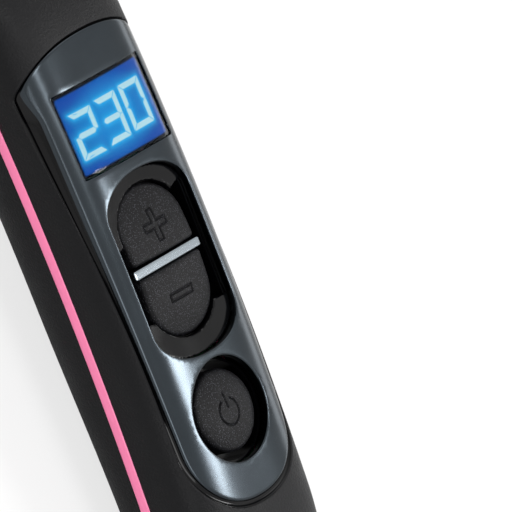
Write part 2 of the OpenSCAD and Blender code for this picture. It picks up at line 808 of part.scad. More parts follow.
ring_sign_r = 2.9;  // radius of the power sign's ring
ring_sign_gap = 2.6;
ring_bar_from = 0.6;
sign_line = 0.6;
module power_button() color("#222326") {
  at_panel(power_s)
    difference() {
      union() {
        button_solid(power_top, dome_r, 0) {
          circle(d = power_d);
          circle(d = power_d + 2 * key_lip_w);
        }
        stem(0);
      }
      translate([0, 0, power_top - sign_depth])
        linear_extrude(height = cut) {
          difference() {
            circle(ring_sign_r);
            circle(ring_sign_r - sign_line);
            translate([-ring_sign_gap / 2, 0]) square([ring_sign_gap, 2 * ring_sign_r]);
          }
          translate([-sign_line / 2, ring_bar_from]) square([sign_line, ring_sign_r]);
        }
    }
}

module plunger(y) color("#c8a24a") {
  at_panel(y) translate([0, 0, plunger_low]) cylinder(d = plunger_d, h = plunger_top - plunger_low);
}
module plus_plunger() plunger(plus_y);
module minus_plunger() plunger(minus_y);
module power_plunger() plunger(power_s);

module push_switches() color("#2b2b2b") {
  for (y = [plus_y, minus_y, power_s])
    at_panel(y)
      difference() {
        translate([-switch_a / 2, -switch_a / 2, board_h]) cube([switch_a, switch_a, switch_h]);
        translate([0, 0, plunger_bore_low]) cylinder(d = plunger_d + 2 * run_gap, h = cut);
      }
}

// ---- electronics ----
module main_board() color("#1d6b3a") {
  at_panel()
    difference() {
      translate([-board_w / 2, -board_l / 2, board_h - board_t]) cube([board_w, board_l, board_t]);
      for (p = board_posts) translate([p[0], p[1], 0]) cylinder(d = clear_d, h = cut);
    }
}

// Pan-head screw: its head's seat is at height 0, its shank points up.
module screw(length) {
  slot_l = screw_head_d * 2 / 3;
  slot_w = screw_head_d / 6;
  cylinder(d = screw_d, h = length);
  difference() {
    translate([0, 0, -screw_head_h]) cylinder(d = screw_head_d, h = screw_head_h);
    for (a = [0, 90])
      rotate(a)
        translate([-slot_l / 2, -slot_w / 2, -screw_head_h - eps]) cube([slot_l, slot_w, screw_head_h / 2]);
  }
}

module board_screws() color("#b9bcc0") {
  for (p = board_posts) at_panel(p[1], p[0]) translate([0, 0, board_h - board_t]) screw(board_t + board_bite);
}

// Parts under the board hang from its underside.
board_low = board_h - board_t;
cap_y = 26;
cap_size = [18, 8, 11];
module mains_capacitor() color("#c9b23a") {
  at_panel(cap_y) translate([-cap_size[0] / 2, -cap_size[1] / 2, board_low - cap_size[2]]) cube(cap_size);
}

triac_y = -18;
triac_size = [10, 9, 4.5];
tab_l = 6.5;
tab_t = 1.3;
tab_hole_d = 3.6;
module power_triac() color("#303236") {
  at_panel(triac_y)
    translate([-triac_size[0] / 2, 0, board_low]) {
      translate([0, 0, -triac_size[2]]) cube(triac_size);
      difference() {
        translate([0, -tab_l, -tab_t]) cube([triac_size[0], tab_l, tab_t]);
        translate([triac_size[0] / 2, -tab_l / 2, -2 * tab_t]) cylinder(d = tab_hole_d, h = 3 * tab_t);
      }
    }
}

chip_y = 6;
chip_w = 7.5;
chip_h = 2.2;
legs = 10;                                     // legs of the chip on each side
leg_pitch = 1.27;
leg_w = 0.4;
leg_l = 1.4;
leg_h = 0.5;
module control_chip() color("#26272a") {
  at_panel(chip_y)
    translate([0, 0, board_low]) {
      translate([-chip_w / 2, -legs * leg_pitch / 2, -leg_h / 4 - chip_h])
        cube([chip_w, legs * leg_pitch, chip_h]);
      for (side = [-1, 1], i = [0:legs - 1])
        translate([side * chip_w / 2 - leg_l / 2, (i - (legs - 1) / 2) * leg_pitch - leg_w / 2, -leg_h])
          cube([leg_l, leg_w, leg_h]);
    }
}

// ---- head ----
tooth_fn = 96;
module tooth() {
  r = (tooth_l * tooth_l + tooth_w * tooth_w) / (4 * tooth_w);
  intersection() {
    translate([0, r - tooth_w / 2, -plate_t / 2]) cylinder(r = r, h = tooth_h + plate_t / 2, $fn = tooth_fn);
    translate([0, tooth_w / 2 - r, -plate_t / 2]) cylinder(r = r, h = tooth_h + plate_t / 2, $fn = tooth_fn);
  }
}

module heating_plate() color("#e8245e") {
  difference() {
    union() {
      crowned(0, plate_t) plate_outline(0);
      crowned(plate_t - rim_t, plate_t) plate_outline(plate_rim);
      for (p = teeth) on_plate(p[0], p[1]) tooth();
      for (p = plate_posts)
        on_plate(p[0], p[1])
          translate([0, 0, -shield_depth]) cylinder(d = post_d, h = shield_depth - plate_t / 2);
      for (p = clamp_posts)
        on_plate(p[0], p[1])
          translate([0, 0, -clamp_depth]) cylinder(d = post_d, h = clamp_depth - plate_t / 2);
    }
    for (p = plate_posts) on_plate(p[0], p[1]) translate([0, 0, -cut]) cylinder(d = pilot_d, h = cut - plate_t);
    for (p = clamp_posts) on_plate(p[0], p[1]) translate([0, 0, -cut]) cylinder(d = pilot_d, h = cut - clamp_bite + weld);
  }
}

tip_rise = 0.4;                                // height of a tip's centre on its tooth, in diameters
module tooth_tips() color("#101012") {
  for (p = teeth)
    on_plate(p[0], p[1])
      translate([0, 0, tooth_h])
        intersection() {
          translate([0, 0, tip_rise * tip_d]) sphere(d = tip_d);
          cylinder(d = 2 * tip_d, h = 2 * tip_d);
        }
}

module outer_bristles() color("#121214") {
  ball_h = bristle_h - bristle_d / 2;
  for (b = bristles)
    on_plate(b[0], b[1]) {
      foot = frame_rise(b) - bristle_seat;
      translate([0, 0, foot]) cylinder(d = bristle_d, h = ball_h - foot, $fn = bristle_fn);
      translate([0, 0, ball_h]) sphere(d = bristle_d, $fn = bristle_fn);
    }
}

module ceramic_heater() color("#e9e4d8") {
  crowned(plate_t, mica_depth) square([heater_w, heater_l], center = true);
}

module mica_sheet() color("#cdbb93") {
  crowned(mica_depth, mica_depth + mica_t) square([heater_w, clamp_l + 2 * mica_over], center = true);
}

module heater_clamp() color("#aeb4b8") {
  difference() {
    crowned(clamp_depth, clamp_depth + clamp_t) square([clamp_w, clamp_l], center = true);
    for (p = clamp_posts) on_plate(p[0], p[1]) translate([0, 0, -cut]) cylinder(d = clear_d, h = cut);
  }
}

module clamp_screws() color("#b9bcc0") {
  for (p = clamp_posts)
    on_plate(p[0], p[1]) translate([0, 0, -clamp_depth - clamp_t]) screw(clamp_depth + clamp_t - clamp_bite);
}

module thermistor() color("#8c2f22") {
  on_plate(sensor_x, sensor_u)
    translate([0, 0, -plate_t - sensor_d / 2])
      rotate([90, 0, 0]) cylinder(d = sensor_d, h = sensor_l, center = true);
}

module thermal_fuse() color("#d8d8d2") {
  on_plate(fuse_x, 0)
    translate([0, 0, -clamp_depth - clamp_t - fuse_d / 2])
      rotate([90, 0, 0]) cylinder(d = fuse_d, h = fuse_l, center = true);
}

module heat_shield() color("#c4b892") {
  difference() {
    crowned(shield_depth, post_top) plate_outline(-shield_in);
    for (p = plate_posts) on_plate(p[0], p[1]) translate([0, 0, -cut]) cylinder(d = clear_d, h = cut);
  }
}

module plate_screws() color("#b9bcc0") {
  for (p = plate_posts)
    on_plate(p[0], p[1]) translate([0, 0, -plate_screw_seat]) screw(plate_screw_seat - plate_t - 2 * weld);
}

// Lead from one height down to a level run and up to another height, as rings along its stations.
lead_d = 1.8;
heater_lead_in = 6;                            // distance of the leads' joints from the board's end
sensor_lead_in = 16;
lead_x = 4.6;                                  // distance of the heater's leads from the middle
sensor_lead_d = 1;
sensor_lead_x = 0.6;                           // half distance of the sensor's leads from each other
lead_level = -2.6;                             // height of the leads' level run
lead_ramp = 11;                                // length of each end's slope
lead_step = 4.5;
lead_sides = 8;
board_end = panel_s + board_l / 2;
function board_under(s) = board_h - board_t + (s - panel_s) * (s - panel_s) / (2 * bow_r);
function plate_under(u) = plate_h - u * u * (1 / plate_r - 1 / bow_r) / 2 - plate_t;
function lead_h(s, a, b, ha, hb) =
  s < a + lead_ramp ? mix(ha, lead_level, smooth(a, a + lead_ramp, s))
    : mix(lead_level, hb, smooth(b - lead_ramp, b, s));

module lead(x, a, b, ha, hb, d) {
  count = ceil((b - a) / lead_step);
  loft([
    for (i = [0:count])
      let (s = mix(a, b, i / count))
      let (slope = (lead_h(s + eps, a, b, ha, hb) - lead_h(s - eps, a, b, ha, hb)) / (2 * eps))
        [for (k = [0:lead_sides - 1])
          let (w = 360 * k / lead_sides, across = d / 2 * cos(w), rise = d / 2 * sin(w), tilt = atan(slope))
            arc_point(x + across, s - rise * sin(tilt), lead_h(s, a, b, ha, hb) + rise * cos(tilt), 0)]
  ]);
}

module heater_leads() color("#c22a2a") {
  start = board_end - heater_lead_in;
  finish = head_s - heater_l / 2 + 4;
  for (x = [-lead_x, lead_x])
    lead(x, start, finish,
      board_under(start) - lead_d / 2 - 2 * seat_gap,
      plate_under(finish - head_s) - heater_t - lead_d / 2 - 2 * seat_gap, lead_d);
}

module sensor_leads() color("#e6e6e6") {
  start = board_end - sensor_lead_in;
  finish = head_s + sensor_u - sensor_l / 2 - seat_gap;
  for (x = [-sensor_lead_x, sensor_lead_x])
    lead(sensor_x + x, start, finish,
      board_under(start) - sensor_lead_d / 2 - 2 * seat_gap,
      plate_under(sensor_u) - sensor_d / 2 - seat_gap, sensor_lead_d);
}

module housing_screws() color("#b9bcc0") {
  for (s = shell_posts) at_arc(s, -shell_screw_seat) screw(shell_screw_seat + shell_bite);
}

// ---- cord outlet ----
lip_t = 1.6;
module end_ring() color("#0d0d0f") {
  at_butt()
    difference() {
      union() {
        translate([0, 0, -ring_in]) cylinder(d = ring_d - 2 * seat_gap, h = ring_in + eps);
        cylinder(d = ring_d + 2 * ring_lip, h = lip_t);
      }
      translate([0, 0, -cut / 2]) cylinder(d = swivel_d + 2 * run_gap, h = cut);
    }
}

collar_w = 1.8;
collar_h = 1.3;
nose_lip = 1.2;
module swivel_gland() color("#131315") {
  neck_r = swivel_d / 2;
  inner_z = -ring_in - play;
  collar_z = lip_t + play;
  at_butt()
    rotate_extrude()
      polygon([
        [cord_bore_d / 2, inner_z - swivel_flange_t],
        [ring_d / 2 - flange_in, inner_z - swivel_flange_t],
        [ring_d / 2 - flange_in, inner_z],
        [neck_r, inner_z],
        [neck_r, collar_z],
        [neck_r + collar_w, collar_z],
        [neck_r + collar_w, collar_z + collar_h],
        [neck_r + collar_w / 2, collar_z + 2 * collar_h],
        [nose_d / 2 + nose_lip, swivel_out - 2 * nose_lip],
        [nose_d / 2, swivel_out - nose_lip],
        [nose_d / 2, swivel_out],
        [cord_bore_d / 2, swivel_out]
      ]);
}

rear_housing();
front_housing();
head_frame();
trim_band();
panel_bezel();
control_panel();
button_carrier();
divider_bar();
display_window();
lcd_module();
plus_button();
minus_button();
power_button();
plus_plunger();
minus_plunger();
power_plunger();
push_switches();
main_board();
board_screws();
mains_capacitor();
power_triac();
control_chip();
heating_plate();
tooth_tips();
outer_bristles();
ceramic_heater();
mica_sheet();
heater_clamp();
clamp_screws();
thermistor();
thermal_fuse();
heat_shield();
plate_screws();
heater_leads();
sensor_leads();
housing_screws();
end_ring();
swivel_gland();
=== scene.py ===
"""Looks of the steam hair straightener brush: smooth shells, control panel, keys, display and heated head.

Every length in the classes is in millimetres; meshes are written in metres. The brush lies on its back, its head
towards +Y and its controls and teeth towards +Z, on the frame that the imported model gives.
"""

import logging
import math
from dataclasses import dataclass, field
from enum import Enum
from typing import Callable, Optional, Sequence

import bmesh
import bpy
import numpy as np
from mathutils import Matrix, Vector
from mathutils.geometry import delaunay_2d_cdt


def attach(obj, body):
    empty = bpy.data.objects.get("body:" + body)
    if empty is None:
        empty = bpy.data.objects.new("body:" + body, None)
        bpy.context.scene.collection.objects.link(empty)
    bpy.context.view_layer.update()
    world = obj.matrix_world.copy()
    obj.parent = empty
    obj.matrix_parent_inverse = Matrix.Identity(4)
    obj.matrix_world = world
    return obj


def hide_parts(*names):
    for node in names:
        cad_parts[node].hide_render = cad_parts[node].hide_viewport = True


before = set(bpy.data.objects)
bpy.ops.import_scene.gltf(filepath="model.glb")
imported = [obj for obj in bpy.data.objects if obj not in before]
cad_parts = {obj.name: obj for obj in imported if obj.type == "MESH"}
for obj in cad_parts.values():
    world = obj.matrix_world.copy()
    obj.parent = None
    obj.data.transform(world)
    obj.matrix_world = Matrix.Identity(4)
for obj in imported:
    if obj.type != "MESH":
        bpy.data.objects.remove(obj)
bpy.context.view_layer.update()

MM = 0.001
BODY = "brush_body"
COAT_ROUGH = 0.04
FLECK_EDGE = 0.12
Array = np.ndarray
Lift = Callable[[Array], Array]
log = logging.getLogger("brush")


# ---------------------------------------------------------------- small maths
def sup(u: Array, n: Array) -> Array:
    """Height of a unit superellipse of power n above the point u."""
    return np.maximum(0.0, 1.0 - np.minimum(1.0, np.abs(u)) ** n) ** (1.0 / n)


def smooth(low: float, high: float, value: Array) -> Array:
    """Smooth step of value from 0 at low to 1 at high."""
    k = np.clip((np.asarray(value, float) - low) / (high - low), 0.0, 1.0)
    return k * k * (3.0 - 2.0 * k)


def mix(first: Array, last: Array, share: Array) -> Array:
    """Blend from first to last."""
    return first + (last - first) * share


def rounding(distance: Array, radius: float) -> Array:
    """Drop of a surface at a distance from its edge, for an edge rounded to radius."""
    k = np.clip(radius - distance, 0.0, radius)
    return radius - np.sqrt(np.maximum(radius * radius - k * k, 0.0))


def inside(points: Array, loop: Array) -> Array:
    """Tells which plan points lie inside a closed loop."""
    x, y = points[:, :1], points[:, 1:]
    ax, ay = loop[:, 0], loop[:, 1]
    bx, by = np.roll(ax, -1), np.roll(ay, -1)
    rise = np.where(by == ay, 1e-12, by - ay)
    crossed = ((ay > y) != (by > y)) & (x < (bx - ax) * (y - ay) / rise + ax)
    return crossed.sum(1) % 2 == 1


def distance(points: Array, loop: Array) -> Array:
    """Distance of plan points from a closed loop."""
    start, run = loop, np.roll(loop, -1, 0) - loop
    length = np.maximum((run * run).sum(1), 1e-12)
    found = []
    for part in np.array_split(points, max(1, len(points) // 2000)):
        away = part[:, None, :] - start
        k = np.clip((away * run).sum(2) / length, 0.0, 1.0)
        found.append(np.sqrt(((away - k[..., None] * run) ** 2).sum(2)).min(1))
    return np.concatenate(found)


def circle(radius: float, count: int, centre: Sequence[float] = (0.0, 0.0)) -> Array:
    """Closed loop of a circle."""
    a = np.linspace(0.0, 2 * math.pi, count, endpoint=False)
    return np.stack([centre[0] + radius * np.cos(a), centre[1] + radius * np.sin(a)], 1)


def arc(centre: Sequence[float], radius: float, start: float, end: float, count: int) -> Array:
    """Points of an arc between two angles in degrees, both ends included."""
    a = np.radians(np.linspace(start, end, count))
    return np.stack([centre[0] + radius * np.cos(a), centre[1] + radius * np.sin(a)], 1)


def rounded_box(width: float, length: float, corner: float, step: float = 1.0) -> Array:
    """Closed loop of a rectangle with rounded corners."""
    x, y = width / 2 - corner, length / 2 - corner
    corners = [(x, y, 0), (-x, y, 90), (-x, -y, 180), (x, -y, 270)]
    return refined(np.concatenate([arc((cx, cy), corner, a, a + 90, 7) for cx, cy, a in corners]), step)


def flat_oval(half_width: float, low: float, high: float, end: float, grow: float = 0.0,
              power: float = 2.2) -> Array:
    """Closed loop with straight sides and flattened round ends.

    Args:
        half_width: Half its width.
        low: Its lower end.
        high: Its upper end.
        end: Length of each rounded end.
        grow: Width by which the loop is grown.
        power: Squareness of the ends.

    Returns:
        The loop, from the right side round the upper end.
    """
    a = np.linspace(0.0, math.pi, 48)
    x, y = (half_width + grow) * sup(np.sin(a), power) * np.sign(np.cos(a)), (end + grow) * np.sin(a)
    return refined(np.concatenate([np.stack([x, high - end + y], 1), np.stack([-x, low + end - y], 1)]), 1.0)


def refined(loop: Array, step: float) -> Array:
    """Closed loop with its long sides cut into pieces of at most step."""
    pieces = []
    for a, b in zip(loop, np.roll(loop, -1, 0)):
        count = max(1, int(math.ceil(np.linalg.norm(b - a) / step)))
        pieces.append(a + (b - a) * (np.arange(count)[:, None] / count))
    return np.concatenate(pieces)


def grid(low: Sequence[float], high: Sequence[float], step: float) -> Array:
    """Plan points in staggered rows."""
    rows = []
    for i, y in enumerate(np.arange(low[1], high[1] + step, step * 0.87)):
        x = np.arange(low[0] + (i % 2) * step / 2, high[0] + step, step)
        rows.append(np.stack([x, np.full(len(x), y)], 1))
    return np.concatenate(rows)


# ---------------------------------------------------------------- mesh work
@dataclass
class Shape:
    """Points in millimetres and the faces between them."""

    points: Array
    faces: list[tuple[int, ...]]

    def __add__(self, other: "Shape") -> "Shape":
        """Both shapes in one."""
        shift = len(self.points)
        return Shape(np.concatenate([self.points, other.points]),
                     self.faces + [tuple(i + shift for i in f) for f in other.faces])

    def moved(self, change: Lift) -> "Shape":
        """The same faces on changed points."""
        return Shape(change(self.points), self.faces)


@dataclass
class Sheet:
    """Flat triangulated region with its boundary loops, the outer one first."""

    points: Array
    faces: list[tuple[int, int, int]]
    loops: list[list[int]]


def carve(outer: Array, holes: Sequence[Array] = (), lines: Sequence[Array] = (), fill: Optional[Array] = None,
          clear: float = 0.3) -> Sheet:
    """Triangulates the region inside a loop and outside its holes.

    Args:
        outer: The region's outline.
        holes: Outlines of its openings.
        lines: More closed loops that the triangles follow, such as the inner edge of a rounding.
        fill: Loose points that make the triangles small enough to bend.
        clear: Least distance of a loose point from every loop.

    Returns:
        The triangulated sheet.
    """
    loops = [outer, *holes, *lines]
    if fill is not None:
        keep = inside(fill, outer)
        for hole in holes:
            keep &= ~inside(fill, hole)
        fill = fill[keep]
        for loop in loops:
            fill = fill[distance(fill, loop) > clear]
    points = np.concatenate(loops + ([fill] if fill is not None else []))
    edges, ranges, start = [], [], 0
    for loop in loops:
        ids = list(range(start, start + len(loop)))
        ranges.append(ids)
        edges += list(zip(ids, ids[1:] + ids[:1]))
        start += len(loop)
    made = delaunay_2d_cdt([Vector(p) for p in points], edges, [], 0, 1e-7)
    flat = np.array([tuple(v) for v in made[0]])
    place = {old: new for new, olds in enumerate(made[3]) for old in olds}
    faces = np.array([f for f in made[2] if len(f) == 3])
    middle = flat[faces].mean(1)
    keep = inside(middle, outer)
    for hole in holes:
        keep &= ~inside(middle, hole)
    edges_of = [[place[i] for i in ids] for ids in ranges[: 1 + len(holes)]]
    return Sheet(flat, [tuple(f) for f in faces[keep].tolist()], edges_of)


def slab(sheet: Sheet, top: Lift, bottom: Lift, rings: int = 2) -> Shape:
    """Closed solid between two lifted copies of a sheet.

    Args:
        sheet: The flat region.
        top: Puts plan points on the upper surface.
        bottom: Puts plan points on the lower surface.
        rings: Steps from the top to the bottom along the walls.

    Returns:
        The solid's shape.
    """
    upper, lower = top(sheet.points), bottom(sheet.points)
    count = len(upper)
    points = [upper, lower]
    faces: list[tuple[int, ...]] = list(sheet.faces)
    faces += [tuple(i + count for i in reversed(f)) for f in sheet.faces]
    start = 2 * count
    for loop in sheet.loops:
        rows = [loop]
        for k in range(1, rings):
            points.append(mix(upper[loop], lower[loop], k / rings))
            rows.append(list(range(start, start + len(loop))))
            start += len(loop)
        rows.append([i + count for i in loop])
        for a, b in zip(rows, rows[1:]):
            faces += [(a[i], b[i], b[(i + 1) % len(a)], a[(i + 1) % len(a)]) for i in range(len(a))]
    return Shape(np.concatenate(points), faces)


def loft(rings: Sequence[Array], closed: bool = False) -> Shape:
    """Skin through closed rings of the same count, with capped ends or closed into a ring itself."""
    m, n = len(rings), len(rings[0])
    points = np.concatenate(rings)
    last = m if closed else m - 1
    faces: list[tuple[int, ...]] = [
        (j * n + i, j * n + (i + 1) % n, (j + 1) % m * n + (i + 1) % n, (j + 1) % m * n + i)
        for j in range(last) for i in range(n)
    ]
    if not closed:
        points = np.concatenate([points, [rings[0].mean(0)], [rings[-1].mean(0)]])
        faces += [(m * n, (i + 1) % n, i) for i in range(n)]
        faces += [(m * n + 1, (m - 1) * n + i, (m - 1) * n + (i + 1) % n) for i in range(n)]
    return Shape(points, faces)


def lathe(profile: Sequence[tuple[float, float]], count: int, closed: bool = False) -> Shape:
    """Turned shape about Z through (radius, height) points."""
    a = np.linspace(0.0, 2 * math.pi, count, endpoint=False)
    rings = [np.stack([r * np.cos(a), r * np.sin(a), np.full(count, z)], 1) for r, z in profile]
    return loft(rings, closed)


def make_piece(name: str, shape: Shape, finish: bpy.types.Material, sharp: float = 38.0) -> bpy.types.Object:
    """Writes a shape as an object at the origin.

    Args:
        name: The piece's name.
        shape: Its shape in millimetres.
        finish: Its material.
        sharp: Angle in degrees above which an edge stays crisp.

    Returns:
        The linked object.
    """
    mesh = bpy.data.meshes.new(name)
    mesh.from_pydata((shape.points * MM).tolist(), [], shape.faces)
    work = bmesh.new()
    work.from_mesh(mesh)
    bmesh.ops.remove_doubles(work, verts=work.verts, dist=2e-6)
    bmesh.ops.recalc_face_normals(work, faces=work.faces)
    work.to_mesh(mesh)
    work.free()
    mesh.shade_smooth()
    mesh.set_sharp_from_angle(angle=math.radians(sharp))
    mesh.materials.append(finish)
    piece = bpy.data.objects.new(name, mesh)
    bpy.context.scene.collection.objects.link(piece)
    log.info("%s: %d faces", name, len(mesh.polygons))
    return piece


def stand_for(piece: bpy.types.Object, nodes: Sequence[str], body: str = BODY) -> None:
    """Ties a piece to its body and the CAD nodes that it replaces."""
    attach(piece, body)
    if nodes:
        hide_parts(*nodes)


# ---------------------------------------------------------------- the bowed body
class Half(Enum):
    """The two halves of the body at the parting line."""

    FRONT = 1
    REAR = -1


@dataclass(frozen=True)
class BodyOutline:
    """Outline of the bowed body over its stations, as in the part's own source."""

    bow_r: float = 740.0
    apex_y: float = 0.35900315380206393
    apex_z: float = 22.99521871526673
    handle_w: float = 38.0
    face_h: float = 14.0
    handle_d: float = 17.0
    end_w: float = 26.0
    end_h: float = 12.6
    butt_s: float = -128.0
    butt_len: float = 20.0
    head_s: float = 78.0
    head_half: float = 61.0
    head_w: float = 65.0
    frame_h: float = 8.0
    head_d: float = 15.0
    neck_s: float = 8.0
    neck_from: float = -2.0
    neck_to: float = 32.0
    tip_round: float = 22.0
    back_round: float = 36.0
    back_n: float = 2.2
    plate_r: float = 450.0
    parting: float = 0.75
    thin: float = 0.5
    front_power: float = 4.0
    rear_power: float = 2.6
    head_power: float = 2.3
    tip_power: float = 3.2
    blend_power: float = 6.0

    @property
    def head_end(self) -> float:
        """Station of the tip."""
        return self.head_s + self.head_half

    @property
    def land_s(self) -> float:
        """Station at the cord end where the back touches the table."""
        return self.butt_s + 0.3 * self.butt_len

    def drop(self, s: Array) -> Array:
        """How far the centre line has fallen at a station."""
        return self.bow_r * (1 - np.cos(s / self.bow_r))

    def butt_k(self, s: Array) -> Array:
        """Share of the full section in the cord end's rounding."""
        start = self.butt_s + self.butt_len
        return np.where(s > start, 1.0, sup((start - s) / self.butt_len, 2))

    def half_width(self, s: Array, t: float = 0.0) -> Array:
        """Half the body's width, t inside its surface."""
        s = np.asarray(s, float)
        fade = 1 - smooth(self.neck_s + 10, self.head_s, s)
        handle = (mix(self.end_w, self.handle_w, self.butt_k(s)) / 2 - t) * fade
        power = np.where(s < self.head_s, self.head_power, self.tip_power)
        head = (self.head_w / 2 - t) * sup((s - self.head_s) / (self.head_half - t), power)
        blend = self.blend_power
        return np.maximum((handle ** blend + head ** blend) ** (1 / blend), 1e-3)

    def up(self, s: Array, t: float = 0.0, face_t: float = 0.0) -> Array:
        """Height of the front above the parting line."""
        s = np.asarray(s, float)
        bend = (1 / self.plate_r - 1 / self.bow_r) / 2
        rim = self.frame_h - (s - self.head_s) ** 2 * bend
        tip_from = self.head_end - self.tip_round
        tip = np.where(s < tip_from, 1.0, sup((s - tip_from) / (self.tip_round - t), 2))
        handle = mix(self.end_h, self.face_h, self.butt_k(s)) - face_t
        return mix(handle, (rim - t) * tip, smooth(self.neck_from, self.neck_to, s))

    def down(self, s: Array, t: float = 0.0) -> Array:
        """Depth of the back below the parting line."""
        s = np.asarray(s, float)
        butt_d = self.apex_z - float(self.drop(np.array(self.land_s))) + 0.35
        end = mix(self.end_h, butt_d, sup((self.land_s - s) / (self.land_s - self.butt_s + 0.01), 2))
        handle = np.where(s < self.land_s, end, mix(butt_d, self.handle_d, smooth(self.land_s, -55.0, s)))
        start = self.head_end - self.back_round
        back = np.where(s < start, 1.0, sup((s - start) / (self.back_round - t), self.back_n))
        return mix(handle - t, (self.head_d - t) * back, smooth(self.neck_from, self.neck_to, s))

    def at(self, x: Array, s: Array, h: Array, low: float = 0.0) -> Array:
        """Points at a station and a height above the centre line, never below the level low."""
        a, r = np.asarray(s, float) / self.bow_r, self.bow_r + np.asarray(h, float)
        z = np.maximum(low, self.apex_z - self.bow_r + r * np.cos(a))
        return np.stack(np.broadcast_arrays(x, self.apex_y + r * np.sin(a), z), -1)

    def place(self, s: float, local: Array) -> Array:
        """Points given in the level frame of one station."""
        a = -s / self.bow_r
        y, r = local[..., 1], self.bow_r + local[..., 2]
        return np.stack([local[..., 0], self.apex_y + y * math.cos(a) - r * math.sin(a),
                         self.apex_z - self.bow_r + y * math.sin(a) + r * math.cos(a)], -1)

    def station(self, points: Array) -> tuple[Array, Array]:
        """Station and height of points of the row frame."""
        y, z = points[..., 1] - self.apex_y, points[..., 2] - self.apex_z + self.bow_r
        return self.bow_r * np.arctan2(y, z), np.hypot(y, z) - self.bow_r


class HalfMap:
    """Maps a flat sheet, u across and v along in millimetres, onto one half of the body."""

    def __init__(self, outline: BodyOutline, half: Half, start: float, end: float) -> None:
        """Measures the section and the length once.

        Args:
            outline: The body's outline.
            half: Which half the sheet covers.
            start: First station.
            end: Last station.
        """
        self.outline, self.half = outline, half
        power = outline.front_power if half is Half.FRONT else outline.rear_power
        wide, high = (30.0, 10.0) if half is Half.FRONT else (27.0, 15.0)
        phi = np.linspace(math.pi, 0.0, 6001)
        c, q = np.cos(phi), np.abs(np.sin(phi))
        r = (np.abs(c) ** power + q ** power) ** (-1 / power)
        self.x, self.y = r * c, r * q
        run = np.hypot(np.diff(self.x * wide), np.diff(self.y * high))
        self.u = np.concatenate([[0.0], np.cumsum(run)]) - run.sum() / 2
        k = (1 - np.cos(np.linspace(0, math.pi, 3001))) / 2
        self.s = start + (end - start) * k
        w, rise = outline.half_width(self.s), self._rise(self.s, 0.0, 0.0)
        run = np.sqrt(np.diff(self.s) ** 2 + np.diff(w) ** 2 + np.diff(rise) ** 2)
        self.v = np.concatenate([[0.0], np.cumsum(run)])

    def _rise(self, s: Array, t: float, face_t: float) -> Array:
        """Height of the half's section above the trim."""
        o = self.outline
        reach = o.up(s, t, face_t) if self.half is Half.FRONT else o.down(s, t)
        return np.maximum(o.thin, reach - o.parting)

    def sheet_point(self, x: Array, s: Array) -> Array:
        """Sheet place of surface points given by x and station."""
        share = np.asarray(x, float) / self.outline.half_width(s)
        return np.stack([np.interp(share, self.x, self.u), np.interp(s, self.s, self.v)], -1)

    def surface(self, sheet: Array, depth: Array = 0.0, face_depth: Optional[float] = None) -> Array:
        """Puts sheet points on the surface, or below it.

        Args:
            sheet: Sheet points.
            depth: How far below the surface they lie.
            face_depth: The same under the handle's face, where it differs.

        Returns:
            Points of the row frame.
        """
        s = np.interp(sheet[:, 1], self.v, self.s)
        x, y = np.interp(sheet[:, 0], self.u, self.x), np.interp(sheet[:, 0], self.u, self.y)
        w = np.maximum(self.outline.half_width(s) - depth, 1e-3)
        if face_depth is None:
            rise = np.maximum(0.1, self._rise(s, 0.0, 0.0) - depth)
            level = np.zeros(len(s))
        else:
            rise, level = self._rise(s, float(depth), face_depth), float(depth)
        h = self.half.value * (self.outline.parting + y * rise)
        low = level if self.half is Half.REAR else 0.0
        return self.outline.at(x * w, s, h, low)

    def rectangle(self, step: float) -> Array:
        """Outline of the whole sheet."""
        width, length = self.u[-1], self.v[-1]
        corners = np.array([[width, 0.0], [width, length], [-width, length], [-width, 0.0]])
        return refined(corners, step)

    def fill(self, step: float) -> Array:
        """Loose points over the whole sheet."""
        return grid((self.u[0], 0.0), (self.u[-1], self.v[-1]), step)


# ---------------------------------------------------------------- finishes
class Grain(Enum):
    """How a surface was made, which sets its fine relief."""

    SPARKED = "spark-eroded mould grain"
    POLISHED = "polished mould, slight waviness"
    BRUSHED = "brushed along one direction"
    CAST = "cast or fired, cloudy"


@dataclass(frozen=True)
class Finish:
    """Real material, how its surface was made, and the size of its detail in millimetres."""

    name: str
    colour: str
    rough: float
    grain: Grain
    grain_mm: float
    depth_mm: float
    metallic: float = 0.0
    ior: float = 1.5
    specular: float = 0.5
    coat: float = 0.0
    shade: float = 0.1
    shade_mm: float = 9.0
    swing: float = 0.05
    fleck: Optional[str] = None
    fleck_mm: float = 0.5
    fleck_share: float = 0.12


def linear(code: str) -> tuple[float, float, float, float]:
    """Scene colour of an sRGB hex code."""
    parts = [int(code[i:i + 2], 16) / 255 for i in (1, 3, 5)]
    r, g, b = [c / 12.92 if c <= 0.04045 else ((c + 0.055) / 1.055) ** 2.4 for c in parts]
    return r, g, b, 1.0


def add(tree: bpy.types.NodeTree, kind: str, inputs: dict, **settings: object) -> bpy.types.Node:
    """Adds a node; an input given as a socket is linked, any other value is set."""
    node = tree.nodes.new(kind)
    for key, value in settings.items():
        setattr(node, key, value)
    for key, value in inputs.items():
        if isinstance(value, bpy.types.NodeSocket):
            tree.links.new(value, node.inputs[key])
        else:
            node.inputs[key].default_value = value
    return node


def shaded(colour: tuple[float, ...], share: float) -> tuple[float, float, float, float]:
    """A colour made lighter or darker by a share."""
    return tuple(min(1.0, c * (1 + share)) for c in colour[:3]) + (1.0,)


